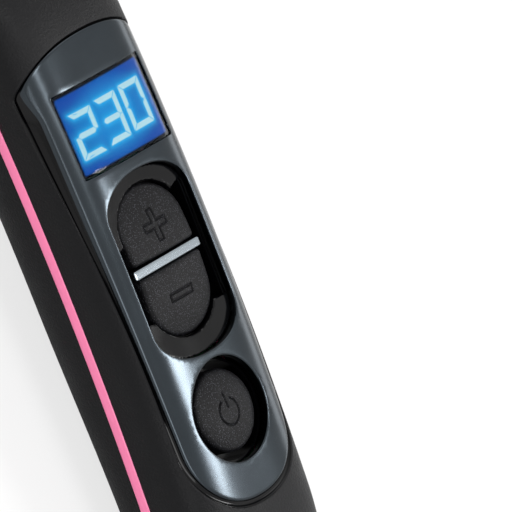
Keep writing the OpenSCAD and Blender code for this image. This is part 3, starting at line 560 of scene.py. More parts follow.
def make_finish(finish: Finish) -> bpy.types.Material:
    """Builds a material with cloudy colour, fine relief, uneven gloss and, where named, flecks."""
    material = bpy.data.materials.new(finish.name)
    material.use_nodes = True
    tree = material.node_tree
    shader = tree.nodes["Principled BSDF"]
    base = linear(finish.colour)
    shader.inputs["Metallic"].default_value = finish.metallic
    shader.inputs["IOR"].default_value = finish.ior
    shader.inputs["Specular IOR Level"].default_value = finish.specular
    shader.inputs["Coat Weight"].default_value = finish.coat
    shader.inputs["Coat Roughness"].default_value = COAT_ROUGH
    where = tree.nodes.new("ShaderNodeTexCoord").outputs["Object"]
    if finish.grain is Grain.BRUSHED:
        where = add(tree, "ShaderNodeMapping", {"Vector": where, "Scale": (0.06, 1.0, 1.0)}).outputs[0]
    cloud = add(tree, "ShaderNodeTexNoise", {"Vector": where, "Scale": 1000 / finish.shade_mm, "Detail": 3.0})
    colour = add(tree, "ShaderNodeMix", {0: cloud.outputs[0], 6: shaded(base, -finish.shade),
                                         7: shaded(base, finish.shade)}, data_type="RGBA").outputs[2]
    if finish.fleck:
        cells = add(tree, "ShaderNodeTexVoronoi", {"Vector": where, "Scale": 1000 / finish.fleck_mm})
        sharp = add(tree, "ShaderNodeMapRange", {
            "Value": cells.outputs["Distance"], "From Min": finish.fleck_share,
            "From Max": finish.fleck_share + FLECK_EDGE, "To Min": 1.0, "To Max": 0.0})
        colour = add(tree, "ShaderNodeMix", {0: sharp.outputs[0], 6: colour, 7: linear(finish.fleck)},
                     data_type="RGBA").outputs[2]
    tree.links.new(colour, shader.inputs["Base Color"])
    gloss = add(tree, "ShaderNodeMapRange", {"Value": cloud.outputs[0], "From Min": 0.3, "From Max": 0.7,
                                             "To Min": max(0.0, finish.rough - finish.swing),
                                             "To Max": finish.rough + finish.swing})
    tree.links.new(gloss.outputs[0], shader.inputs["Roughness"])
    detail = 6.0 if finish.grain in (Grain.SPARKED, Grain.CAST) else 2.0
    fine = add(tree, "ShaderNodeTexNoise", {"Vector": where, "Scale": 1000 / finish.grain_mm, "Detail": detail})
    bump = add(tree, "ShaderNodeBump", {"Height": fine.outputs[0], "Distance": finish.depth_mm * MM,
                                        "Strength": 1.0})
    tree.links.new(bump.outputs[0], shader.inputs["Normal"])
    return material


class Finishes:
    """Every finish of the brush, by the record's material slot."""

    TABLE: dict[str, Finish] = {
        # ABS shell sprayed with matt soft-touch lacquer; the mould's grain, drawn coarser than real, still shows
        "black_shell": Finish("soft_touch_lacquer_on_moulded_abs", "#08080A", 0.46, Grain.SPARKED, 0.5, 0.14,
                              ior=1.42, specular=0.2),
        # ABS frame from a coarser spark-eroded mould
        "textured_black": Finish("spark_eroded_black_abs", "#0A0A0B", 0.46, Grain.SPARKED, 0.55, 0.07,
                                 ior=1.42, specular=0.2),
        # pink acrylic lacquer on the moulded trim, slightly pearly
        "pink_trim": Finish("pink_lacquer_on_moulded_trim", "#F277A6", 0.32, Grain.POLISHED, 1.6, 0.01,
                            coat=0.3, shade=0.04),
        # piano-black ABS from a polished mould
        "gloss_black": Finish("piano_black_abs", "#030304", 0.1, Grain.POLISHED, 5.0, 0.004, swing=0.03,
                              ior=1.45, specular=0.25),
        # metallic lacquer over polycarbonate, with fine aluminium flakes
        "gunmetal_panel": Finish("gunmetal_flake_lacquer", "#363B3F", 0.2, Grain.POLISHED, 0.25, 0.001,
                                 metallic=1.0, shade=0.04, swing=0.02, fleck="#454D52", fleck_mm=0.16),
        # nickel-plated bar, brushed along its length
        "bright_bar": Finish("brushed_nickel_plating", "#8E969C", 0.18, Grain.BRUSHED, 0.12, 0.004,
                             metallic=1.0, shade=0.04),
        # silicone rubber key from a sparked mould; its mica flecks are real, but their glints are painted into the
        # colour as light-grey spots (painted highlight)
        "button_rubber": Finish("silicone_rubber_painted_mica_glints", "#0A0A0C", 0.44, Grain.SPARKED, 0.3, 0.07,
                                ior=1.4, specular=0.16, fleck="#53545B", fleck_mm=0.3, fleck_share=0.14),
        # acetal plungers, plain moulded
        "plunger_plastic": Finish("moulded_acetal", "#C8A24A", 0.4, Grain.POLISHED, 1.0, 0.01),
        # glass-filled nylon switch bodies
        "switch_body": Finish("glass_filled_nylon", "#2B2B2B", 0.5, Grain.SPARKED, 0.2, 0.02),
        # epoxy laminate under solder mask; the weave shows faintly
        "board_green": Finish("solder_masked_laminate", "#1D6B3A", 0.35, Grain.POLISHED, 0.8, 0.02, coat=0.3),
        # zinc-plated steel screws
        "zinc_screw": Finish("zinc_plated_steel", "#B9BCC0", 0.32, Grain.CAST, 0.2, 0.01, metallic=1.0),
        # film capacitor in a moulded polyester box
        "capacitor_box": Finish("moulded_polyester_box", "#C9B23A", 0.4, Grain.SPARKED, 0.4, 0.02),
        # epoxy chip package, matt moulded
        "chip_black": Finish("moulded_epoxy_package", "#2A2B2E", 0.6, Grain.SPARKED, 0.15, 0.02),
        # glossy fired coating on the die-cast aluminium plate
        "pink_coating": Finish("fired_pink_coating_on_die_casting", "#EC1E5F", 0.16, Grain.CAST, 2.2, 0.03,
                               ior=1.55, coat=0.6, shade=0.08, shade_mm=14.0, swing=0.05),
        # heat-proof polymer tips, lightly polished
        "tip_plastic": Finish("moulded_heat_proof_polymer", "#101012", 0.3, Grain.POLISHED, 0.7, 0.012, swing=0.08),
        # drawn nylon bristles
        "bristle_nylon": Finish("drawn_black_nylon", "#111214", 0.22, Grain.POLISHED, 1.2, 0.01, ior=1.53),
        # sintered alumina heater
        "heater_ceramic": Finish("sintered_alumina", "#E9E4D8", 0.6, Grain.CAST, 0.4, 0.02),
        # split mica
        "mica": Finish("split_mica_sheet", "#CDBB93", 0.35, Grain.CAST, 3.0, 0.03, shade=0.2),
        # rolled spring steel
        "spring_steel": Finish("rolled_spring_steel", "#AEB4B8", 0.28, Grain.BRUSHED, 0.2, 0.008, metallic=1.0),
        # epoxy-dipped sensor bead
        "sensor_bead": Finish("dipped_epoxy_bead", "#8C2F22", 0.3, Grain.POLISHED, 1.0, 0.02),
        # drawn aluminium fuse can
        "fuse_can": Finish("drawn_aluminium_can", "#D8D8D2", 0.3, Grain.BRUSHED, 0.3, 0.01, metallic=1.0),
        # silicone-insulated leads
        "lead_red": Finish("red_silicone_insulation", "#C22A2A", 0.45, Grain.POLISHED, 1.0, 0.01),
        "lead_white": Finish("white_silicone_insulation", "#E6E6E6", 0.45, Grain.POLISHED, 1.0, 0.01),
        # soft elastomer gland
        "gland_rubber": Finish("moulded_elastomer", "#151517", 0.55, Grain.SPARKED, 0.4, 0.04),
        # tinted lens and dark glass of the display
        "window_blue": Finish("tinted_acrylic_lens", "#0A3A78", 0.05, Grain.POLISHED, 6.0, 0.004),
        "lcd_glass": Finish("display_glass_stack", "#10141C", 0.1, Grain.POLISHED, 4.0, 0.004),
    }

    def __init__(self) -> None:
        """Builds each material once."""
        self.made = {slot: make_finish(finish) for slot, finish in self.TABLE.items()}

    def __getitem__(self, slot: str) -> bpy.types.Material:
        """The material of a slot."""
        return self.made[slot]


# ---------------------------------------------------------------- shells and trim
@dataclass(frozen=True)
class PanelPlan:
    """Plan of the control panel, in the level frame of its middle station."""

    station: float = -55.0
    top: float = 50.9
    bottom: float = -50.5
    high: float = 6.9
    low: float = 15.0
    power: float = 2.2
    thickness: float = 1.6
    gap_top: float = 0.3
    gap_bottom: float = 1.3
    gap_end: float = 1.3
    lcd_y: float = 32.4
    lcd_w: float = 27.9
    lcd_l: float = 18.2
    recess_x: float = 12.9
    recess_low: float = -19.2
    recess_high: float = 20.7
    recess_end: float = 8.3
    power_y: float = -31.8
    well_d: float = 21.8

    def half(self, y: Array) -> Array:
        """Half the panel's width, a little wider at the display than at the power key."""
        taper = np.clip((30.0 - y) / 68.0, 0.0, 1.0) ** 2
        return 16.75 - 1.2 * taper + 0.75 * smooth(37.0, 44.0, y)

    def half_hole(self, y: Array) -> Array:
        """Half the width of the shell's opening, which leaves a groove that widens towards the display."""
        return 16.8 + 1.85 * smooth(-32.0, 44.0, y)

    def loop(self, half: Lift, top: float, bottom: float, high: float, low: float, inset: float) -> Array:
        """Closed loop with sides of varying width and rounded ends; the same count of points for every size."""
        a = np.linspace(0.0, math.pi, 64, endpoint=False)
        k = np.linspace(0.0, 1.0, 84, endpoint=False)[1:]
        start, end = top - high, bottom + low
        y = np.concatenate([start + (high - inset) * np.sin(a), [start], mix(start, end, k),
                            end - (low - inset) * np.sin(a), [end], mix(end, start, k)])
        around = sup(np.sin(a), self.power) * np.sign(np.cos(a))
        share = np.concatenate([around, [-1.0], -np.ones(len(k)), -around, [1.0], np.ones(len(k))])
        return np.stack([(half(y) - inset) * share, y], 1)

    def edge(self, inset: float = 0.0) -> Array:
        """The panel's edge, moved in."""
        return self.loop(self.half, self.top, self.bottom, self.high, self.low, inset)

    def hole(self, inset: float = 0.0) -> Array:
        """Edge of the shell's opening, moved in; below 0 it lies outside."""
        return self.loop(self.half_hole, self.top + self.gap_top, self.bottom - self.gap_bottom,
                         self.high + self.gap_end, self.low + self.gap_end, inset)

    def recess(self, grow: float = 0.0) -> Array:
        """Edge of the keys' recess."""
        return flat_oval(self.recess_x, self.recess_low, self.recess_high, self.recess_end, grow)


class HandleFace:
    """Surface of the handle's face in the level frame of the panel's middle."""

    def __init__(self, outline: BodyOutline, plan: PanelPlan) -> None:
        """Keeps the body's outline and the panel's plan."""
        self.outline, self.plan = outline, plan

    def height(self, plan: Array, depth: Array = 0.0) -> Array:
        """Height of the face over plan points, at a depth below it."""
        o = self.outline
        share = np.abs(plan[:, 0]) / (o.handle_w / 2 - depth)
        r = o.bow_r + (o.face_h - depth) * sup(np.minimum(share, 0.9995), 4)
        return np.sqrt(r * r - plan[:, 1] ** 2) - o.bow_r

    def lift(self, plan: Array, height: Array) -> Array:
        """Row-frame points over plan points at a height."""
        z = np.broadcast_to(height, (len(plan),))
        return self.outline.place(self.plan.station, np.column_stack([plan, z]))


class BodyShells:
    """Front shell, rear shell, the head's frame and the pink trim between them."""

    def __init__(self, outline: BodyOutline, plan: PanelPlan, head: "HeadPlan", finishes: Finishes) -> None:
        """Keeps what the shells are cut to."""
        self.outline, self.plan, self.head, self.finishes = outline, plan, head, finishes
        self.face = HandleFace(outline, plan)
        self.seam, self.wall, self.face_wall, self.edge = 0.05, 2.2, 3.8, 0.35
        self.pocket_r, self.pocket_edge = 2.7, 0.4
        self.outlet_r, self.outlet_from = 10.25, 4.2

    def build(self) -> None:
        """Makes the four pieces."""
        self.front_shell()
        self.rear_shell()
        self.frame_ring()
        self.trim_line()

    def end_cap(self, half: Half) -> Shape:
        """Flat end round the cord's outlet."""
        o = self.outline
        power = o.front_power if half is Half.FRONT else o.rear_power
        rise = o.end_h - o.parting
        a = np.linspace(0.0, math.pi, 49)
        w = o.end_w / 2 - 0.02
        x = w * np.sign(np.cos(a)) * np.abs(np.cos(a)) ** (2 / power)
        h = o.parting + (rise - 0.02) * np.sin(a) ** (2 / power)
        bore = arc((0.0, 0.0), self.outlet_r, 180.0 - self.outlet_from, self.outlet_from, 41)
        loop = refined(np.concatenate([np.stack([x, h], 1), bore]), 0.8)
        sheet = carve(loop, fill=grid((-w, 0.0), (w, rise), 1.2))

        def at(station: float) -> Lift:
            """Puts the flat end at a station."""
            return lambda p: o.at(p[:, 0], np.full(len(p), station), half.value * p[:, 1])

        return slab(sheet, at(o.butt_s + 0.02), at(o.butt_s + self.wall), 1)

    def front_shell(self) -> None:
        """Matt shell of the handle with the panel's opening, its rim rounded."""
        o = self.outline
        skin = HalfMap(o, Half.FRONT, o.butt_s, o.neck_s - self.seam)
        plan = self.plan.hole()
        s, _ = o.station(self.face.lift(plan, self.face.height(plan)))
        hole = skin.sheet_point(plan[:, 0], s)
        rims = [skin.sheet_point(p[:, 0], s_of) for p, s_of in self._grown((0.1, 0.22, 0.4))]
        sheet = carve(skin.rectangle(1.4), [hole], rims, skin.fill(1.5), 0.5)
        drop = rounding(distance(sheet.points, hole), self.edge)
        shape = slab(sheet, lambda p: skin.surface(p, drop),
                     lambda p: skin.surface(p, self.wall, self.face_wall), 3)
        piece = make_piece("front_shell", shape + self.end_cap(Half.FRONT), self.finishes["black_shell"])
        stand_for(piece, ["front_housing"])

    def _grown(self, widths: Sequence[float]) -> list[tuple[Array, Array]]:
        """Loops just outside the panel's opening, as plan points and stations."""
        found = []
        for width in widths:
            plan = self.plan.hole(-width)
            found.append((plan, self.outline.station(self.face.lift(plan, self.face.height(plan)))[0]))
        return found

    def rear_shell(self) -> None:
        """Matt back shell from the cord's outlet to the tip, with its screw pockets."""
        o = self.outline
        skin = HalfMap(o, Half.REAR, o.butt_s, o.head_end - 0.02)
        places = [(0.0, o.neck_s - 6.0), (0.0, o.butt_s + o.butt_len - 1.0)]
        holes = [skin.sheet_point(np.array(x), np.array(s)) + circle(self.pocket_r, 28) for x, s in places]
        for x, u in self.head.posts:
            s, _ = o.station(self.head.on_plate(np.array([[x, u, -25.0]]))[0])
            holes.append(skin.sheet_point(np.array(x), s) + circle(self.pocket_r, 28))
        rims = [centre.mean(0) + (centre - centre.mean(0)) * k for centre in holes for k in (1.05, 1.15)]
        sheet = carve(skin.rectangle(1.8), holes, rims, skin.fill(2.0), 0.5)
        drop = np.zeros(len(sheet.points))
        for hole in holes:
            drop = np.maximum(drop, rounding(distance(sheet.points, hole), self.pocket_edge))
        shape = slab(sheet, lambda p: skin.surface(p, drop), lambda p: skin.surface(p, self.wall, 0.0), 3)
        for hole in holes:
            rings = [skin.surface(hole, depth) for depth in (1.8, 4.0, 6.5)]
            inner = [mix(r, r.mean(0), 0.12) for r in reversed(rings)]
            shape = shape + loft(rings + inner, closed=True)
        piece = make_piece("rear_shell", shape + self.end_cap(Half.REAR), self.finishes["black_shell"])
        stand_for(piece, ["rear_housing"])

    def frame_ring(self) -> None:
        """Textured frame round the heating plate, with a small mound at the foot of each bristle."""
        o = self.outline
        skin = HalfMap(o, Half.FRONT, o.neck_s + self.seam, o.head_end - 0.02)

        def loop_at(grow: float) -> Array:
            """Sheet loop of the plate's edge, grown."""
            edge = self.head.outline(grow)
            points = self.head.on_plate(np.column_stack([edge, np.zeros(len(edge))]))
            return skin.sheet_point(edge[:, 0], o.station(points)[0])

        hole = loop_at(0.5)
        feet = self.head.bristles()
        points = self.head.on_plate(np.column_stack([feet, np.zeros(len(feet))]))
        centres = skin.sheet_point(feet[:, 0], o.station(points)[0])
        rings = [c + circle(r, 16) for c in centres for r in (0.95, 1.4, 1.9, 2.4)]
        rings = [r for r in rings if distance(r, hole).min() > 0.45 or not inside(r, hole).any()]
        clear = np.concatenate(rings)
        clear = clear[~inside(clear, hole)]
        clear = clear[distance(clear, hole) > 0.75]
        fill = skin.fill(1.6)
        fill = fill[np.sqrt(((fill[:, None] - centres) ** 2).sum(2)).min(1) > 2.8]
        sheet = carve(skin.rectangle(1.6), [hole], [loop_at(0.62), loop_at(0.8), loop_at(1.05)],
                      np.concatenate([fill, clear]), 0.2)
        away = np.sqrt(((sheet.points[:, None] - centres) ** 2).sum(2)).min(1)
        drop = rounding(distance(sheet.points, hole), 0.5) - 0.5 * (1 - smooth(0.95, 2.4, away))
        shape = slab(sheet, lambda p: skin.surface(p, drop),
                     lambda p: skin.surface(p, self.wall, self.face_wall), 3)
        piece = make_piece("frame_ring", shape, self.finishes["textured_black"], 50.0)
        stand_for(piece, ["head_frame"])

    def trim_line(self) -> None:
        """Pink band that follows the whole parting line."""
        o = self.outline
        k = np.linspace(0.0, 1.0, 90)
        butt = o.butt_s + o.butt_len * (1 - np.cos(k * math.pi / 2))
        long = np.linspace(o.butt_s + o.butt_len, o.head_end - o.tip_round, 160)[1:-1]
        tip = o.head_end - o.tip_round + o.tip_round * np.sin(k * math.pi / 2)
        s = np.concatenate([butt, long, tip])
        w = o.half_width(s)
        right = np.stack([w, s], 1)
        end = np.stack([np.linspace(-w[0], w[0], 24)[1:-1], np.full(22, s[0])], 1)
        path = np.concatenate([right, (right * [-1, 1])[::-1][1:], end])
        ahead, behind = np.roll(path, -1, 0), np.roll(path, 1, 0)
        out = ahead - behind
        out = np.stack([out[:, 1], -out[:, 0]], 1)
        out /= np.maximum(np.linalg.norm(out, axis=1, keepdims=True), 1e-9)
        lower = [(-1.6, -0.74), (-0.05, -0.74), (-0.05, -1.2), (0.16, -1.12), (0.26, -0.8)]
        profile = lower + [(0.3, 0.0)] + [(g, -h) for g, h in reversed(lower)]
        rings = [o.at(path[:, 0] + out[:, 0] * g, path[:, 1] + out[:, 1] * g, np.full(len(path), h))
                 for g, h in profile]
        piece = make_piece("trim_line", loft(rings, closed=True), self.finishes["pink_trim"], 60.0)
        stand_for(piece, ["trim_band"])


# ---------------------------------------------------------------- control panel
@dataclass(frozen=True)
class DeckSizes:
    """Heights and edges in the control zone."""

    rim: float = 0.35
    lcd_rim: float = 0.18
    edge: float = 0.4
    ledge_z: float = 11.9
    slot_top: float = 10.9
    well_top: float = 10.4
    floor_z: float = 7.5
    key_x: float = 9.75
    key_high: float = 17.5
    key_low: float = -14.7
    key_end: float = 8.6
    power_r: float = 8.6
    gap: float = 0.35
    crescent_high: tuple[float, float] = (6.5, 14.8)
    crescent_low: tuple[float, float] = (-9.0, -11.0)
    bar_y: float = 1.4
    bar_w: float = 1.9
    bar_left: float = -11.5
    bar_right: float = 9.9
    bar_top: float = 12.8
    stem_hole: float = 2.0
    stems: tuple[float, ...] = (8.7, -6.3, -32.3)


class ControlDeck:
    """Gunmetal panel, the gloss groove round it, the recess of the keys and the bright bar."""

    def __init__(self, face: HandleFace, finishes: Finishes, sizes: DeckSizes = DeckSizes()) -> None:
        """Keeps the handle's face and the sizes."""
        self.face, self.plan, self.finishes, self.sizes = face, face.plan, finishes, sizes

    def build(self) -> None:
        """Makes the four pieces."""
        self.panel_plate()
        self.panel_groove()
        self.recess_liner()
        self.bar()

    def panel_plate(self) -> None:
        """Lacquered plate with its three openings, every rim rounded."""
        p, rim = self.plan, self.sizes.rim
        rise = [0.0, 0.1, 0.22, rim]
        openings = [
            [rounded_box(p.lcd_w + 2 * d, p.lcd_l + 2 * d, 0.5 + d) + [0, p.lcd_y]
             for d in (0.0, 0.06, 0.12, self.sizes.lcd_rim)],
            [p.recess(d) for d in rise],
            [circle(p.well_d / 2 + d, 72, (0.0, p.power_y)) for d in rise],
        ]
        edge = [p.edge(d) for d in (0.0, 0.12, 0.26, self.sizes.edge, 0.75, 1.2, 1.75, 2.35)]
        sheet = carve(edge[0], [o[0] for o in openings], edge[1:] + [loop for o in openings for loop in o[1:]],
                      grid((-19, -52), (19, 52), 0.9), 0.4)
        drop = rounding(distance(sheet.points, edge[0]), self.sizes.edge)
        for o, radius in zip(openings, (self.sizes.lcd_rim, rim, rim)):
            drop = np.maximum(drop, rounding(distance(sheet.points, o[0]), radius))
        face = self.face
        shape = slab(sheet, lambda q: face.lift(q, face.height(q) - drop),
                     lambda q: face.lift(q, face.height(q, p.thickness)), 3)
        piece = make_piece("panel_plate", shape, self.finishes["gunmetal_panel"])
        stand_for(piece, ["control_panel"])

    def panel_groove(self) -> None:
        """Gloss channel between the shell and the panel, with a fine lip along its outer edge."""
        face, p = self.face, self.plan
        outer, inner = p.hole(-0.06), p.edge(0.12)
        profile = [(0.0, 0.22), (0.04, 0.08), (0.09, 0.05), (0.15, 0.1), (0.22, 0.3), (0.38, 0.62), (0.6, 0.72),
                   (0.8, 0.66), (0.93, 0.5), (1.0, 0.42)]
        rings = []
        for share, depth in profile:
            plan = mix(outer, inner, share)
            rings.append(face.lift(plan, face.height(plan, depth)))
        for plan in (inner, outer):
            rings.append(face.lift(plan, face.height(plan, 0.5) - 2.2))
        piece = make_piece("panel_groove", loft(rings, closed=True), self.finishes["gloss_black"], 60.0)
        stand_for(piece, ["panel_bezel"])

    def tube(self, outer: Array, inner: Array, top: float, stems: Sequence[float]) -> Shape:
        """Floor and wall of a recess, the floor open where the keys' stems pass through."""
        lift, low = self.face.lift, self.sizes.floor_z
        holes = [circle(self.sizes.stem_hole, 24, (0.0, y)) for y in stems]
        floor = carve(outer, holes, fill=grid(outer.min(0), outer.max(0), 3.0))
        shape = slab(floor, lambda q: lift(q, low), lambda q: lift(q, low - 1.0), 1)
        wall = carve(outer, [inner])
        return shape + slab(wall, lambda q: lift(q, top), lambda q: lift(q, low - 0.5), 2)

    def crescent(self, side: int) -> Shape:
        """Raised ledge at one end of the keys' recess, cut off square towards the slots."""
        p, z = self.plan, self.sizes
        outer, inner = p.recess(-0.06), self.key_loop(-z.gap)
        ends = z.crescent_high if side > 0 else z.crescent_low

        def cut(x: Array) -> Array:
            """Where the ledge ends at x."""
            return mix(ends[0], ends[1], (x + p.recess_x) / (2 * p.recess_x))

        def part(loop: Array) -> Array:
            """The loop's points beyond the cut, in order."""
            chosen = loop[(loop[:, 1] - cut(loop[:, 0])) * side > 0]
            chosen = chosen[np.argsort(np.arctan2(side * chosen[:, 1], chosen[:, 0]))]
            ends_of = [[[row[0], cut(row[0])]] for row in (chosen[0], chosen[-1])]
            return np.concatenate([ends_of[0], chosen, ends_of[1]])

        high, low = part(outer), part(inner)
        loop = refined(np.concatenate([high, low[::-1]]), 0.7)
        sheet = carve(loop, fill=grid(loop.min(0), loop.max(0), 0.3), clear=0.1)
        drop = rounding(distance(sheet.points, loop), 0.3)
        dish = 0.25 * np.abs(sheet.points[:, 0] / p.recess_x) ** 2
        lift = self.face.lift
        return slab(sheet, lambda q: lift(q, z.ledge_z - drop - dish),
                    lambda q: lift(q, np.full(len(q), z.floor_z)), 3)

    def key_loop(self, inset: float) -> Array:
        """Outline that the two keys share, moved in."""
        z = self.sizes
        return flat_oval(z.key_x, z.key_low, z.key_high, z.key_end, -inset, 2.0)

    def recess_liner(self) -> None:
        """Recess of the two keys with its crescent ledges, and the deep round well of the power key."""
        p, z = self.plan, self.sizes
        shape = self.tube(p.recess(-0.06), p.recess(-0.55), z.slot_top, z.stems[:2])
        for side in (1, -1):
            shape = shape + self.crescent(side)
        well, r = (0.0, p.power_y), p.well_d / 2
        wall = circle(r - 0.05, 72, well), circle(r - 0.6, 72, well)
        shape = shape + self.tube(*wall, z.well_top, z.stems[2:])
        piece = make_piece("recess_liner", shape, self.finishes["gloss_black"])
        stand_for(piece, ["button_carrier"])

    def bar(self) -> None:
        """Bright bar between the two keys, its long edges rounded."""
        z = self.sizes
        width, middle = z.bar_right - z.bar_left, np.array([(z.bar_left + z.bar_right) / 2, z.bar_y])
        loops = [rounded_box(width - 2 * d, z.bar_w - 2 * d, 0.4 - d / 2, 0.5) for d in (0.0, 0.07, 0.14, 0.22)]
        sheet = carve(loops[0], [], loops[1:], grid((-11, -1), (11, 1), 0.4), 0.1)
        drop = rounding(distance(sheet.points, loops[0]), 0.22)
        lift = self.face.lift
        shape = slab(sheet, lambda q: lift(q + middle, z.bar_top - drop - 0.02 * (q[:, 0] - 2.0)),
                     lambda q: lift(q + middle, np.full(len(q), z.floor_z)), 3)
        piece = make_piece("bar", shape, self.finishes["bright_bar"])
        stand_for(piece, ["divider_bar"])


# ---------------------------------------------------------------- keys
class Sign(Enum):
    """What is engraved on a key."""

    PLUS = "plus"
    MINUS = "minus"
    POWER = "power"


@dataclass(frozen=True)
class KeySizes:
    """Sizes of one key, in the level frame of its recess."""

    body: str
    node: str
    sign: Sign
    station_y: float
    sign_y: float
    top: float
    dome_r: float
    low: float = 8.4
    edge: float = 0.8
    stem_r: float = 1.5
    stem_low: float = 7.0
    line: float = 0.26
    depth: float = 0.42


class Keys:
    """The three rubber keys with their engraved signs."""

    ARM = 3.35
    ARM_W = 0.72
    RING_R = 2.8
    RING_OPEN = 27.0
    STROKE = (1.0, 4.4)

    def __init__(self, face: HandleFace, deck: DeckSizes, finishes: Finishes) -> None:
        """Keeps the handle's face and the sizes."""
        self.face, self.deck, self.finishes = face, deck, finishes
        p = face.plan
        self.all = [
            KeySizes("plus_key", "plus_button", Sign.PLUS, 1.4, 7.3, 12.75, 72.0),
            KeySizes("minus_key", "minus_button", Sign.MINUS, 1.4, -7.7, 12.75, 72.0),
            KeySizes("power_key", "power_button", Sign.POWER, p.power_y, -0.5, 12.6, 34.0),
        ]

    def build(self) -> None:
        """Makes the three caps."""
        for key in self.all:
            self.cap(key)

    def outline(self, key: KeySizes, inset: float) -> Array:
        """Closed loop of a key's edge, moved in."""
        d = self.deck
        if key.sign is Sign.POWER:
            return circle(d.power_r - inset, 72)
        side = 1 if key.sign is Sign.PLUS else -1
        reach = (d.key_high if side > 0 else -d.key_low) - side * key.station_y - inset
        half, end, low = d.key_x - inset, d.key_end - inset, d.bar_w / 2 + d.gap + inset
        corner = max(0.12, 0.9 - inset)
        right = arc((half - corner, low + corner), corner, -90, 0, 7)
        left = arc((corner - half, low + corner), corner, 180, 270, 7)
        a = np.linspace(0.0, math.pi, 60)
        top = np.stack([half * np.cos(a), reach - end + end * np.sin(a)], 1)
        k = np.linspace(0, 1, 18)[1:-1][:, None]
        loop = np.concatenate([right, mix(right[-1], top[0], k[::4]), top, mix(top[-1], left[0], k[::4]), left,
                               mix(left[-1], right[0], k)])
        return loop if side > 0 else (loop * [1, -1])[::-1]

    def engraved(self, key: KeySizes, points: Array) -> Array:
        """Depth of the engraved line at points measured from the key's middle."""
        x, y = points[:, 0], points[:, 1] - key.sign_y
        if key.sign is Sign.POWER:
            angle = np.degrees(np.abs(np.arctan2(x, y)))
            far = np.where(angle > self.RING_OPEN, np.abs(np.hypot(x, y) - self.RING_R), 9.0)
            for side in (1, -1):
                end = np.radians(self.RING_OPEN) * side
                far = np.minimum(far, np.hypot(x - self.RING_R * np.sin(end), y - self.RING_R * np.cos(end)))
            far = np.minimum(far, np.hypot(x, y - np.clip(y, *self.STROKE)))
        else:
            def box(half_x: float, half_y: float) -> Array:
                """Signed distance from a rectangle's edge."""
                dx, dy = np.abs(x) - half_x, np.abs(y) - half_y
                return np.hypot(np.maximum(dx, 0), np.maximum(dy, 0)) + np.minimum(np.maximum(dx, dy), 0)

            far = box(self.ARM, self.ARM_W)
            if key.sign is Sign.PLUS:
                far = np.minimum(far, box(self.ARM_W, self.ARM))
            far = np.abs(far)
        return key.depth * (1 - smooth(key.line * 0.35, key.line * 1.25, far))

    def cap(self, key: KeySizes) -> None:
        """One key: domed top, rounded edge, engraved sign and the stem under it."""
        loops = [self.outline(key, d) for d in (0.0, 0.08, 0.22, 0.45, key.edge)]
        low, high = loops[0].min(0), loops[0].max(0)
        sign = grid((-3.9, key.sign_y - 3.9), (3.9, key.sign_y + 3.9), 0.13)
        rest = grid(low, high, 0.8)
        rest = rest[np.abs(rest - [0, key.sign_y]).max(1) > 4.1]
        sheet = carve(loops[0], [], loops[1:], np.concatenate([sign, rest]), 0.1)
        drop = rounding(distance(sheet.points, loops[0]), key.edge) + self.engraved(key, sheet.points)
        move = np.array([0.0, key.station_y])
        lift = self.face.lift

        def top(q: Array) -> Array:
            """Domed top with its sign cut in."""
            dome = key.top - key.dome_r + np.sqrt(key.dome_r ** 2 - (q ** 2).sum(1))
            return lift(q + move, dome - drop)

        shape = slab(sheet, top, lambda q: lift(q + move, np.full(len(q), key.low)), 3)
        ring = circle(key.stem_r, 20) + move + [0, key.sign_y]
        shape = shape + loft([lift(ring, np.full(20, z)) for z in (key.low + 0.2, key.stem_low)])
        piece = make_piece(key.node.replace("button", "cap"), shape, self.finishes["button_rubber"], 75.0)
        stand_for(piece, [key.node], key.body)


# ---------------------------------------------------------------- display
@dataclass(frozen=True)
class DisplaySizes:
    """Sizes of the display, in the level frame of the panel's middle."""

    sunk: float = 0.3
    pane: float = 0.35
    film: float = 0.75
    low: float = 8.5
    border: float = 1.05
    digit_h: float = 9.8
    digit_w: float = 6.6
    pitch: float = 8.0
    rise: float = 0.25
    stroke: float = 1.15
    slant: float = 0.02
    gap: float = 0.13
    glow: float = 0.6
    shift: tuple[float, float] = (-0.45, -0.35)


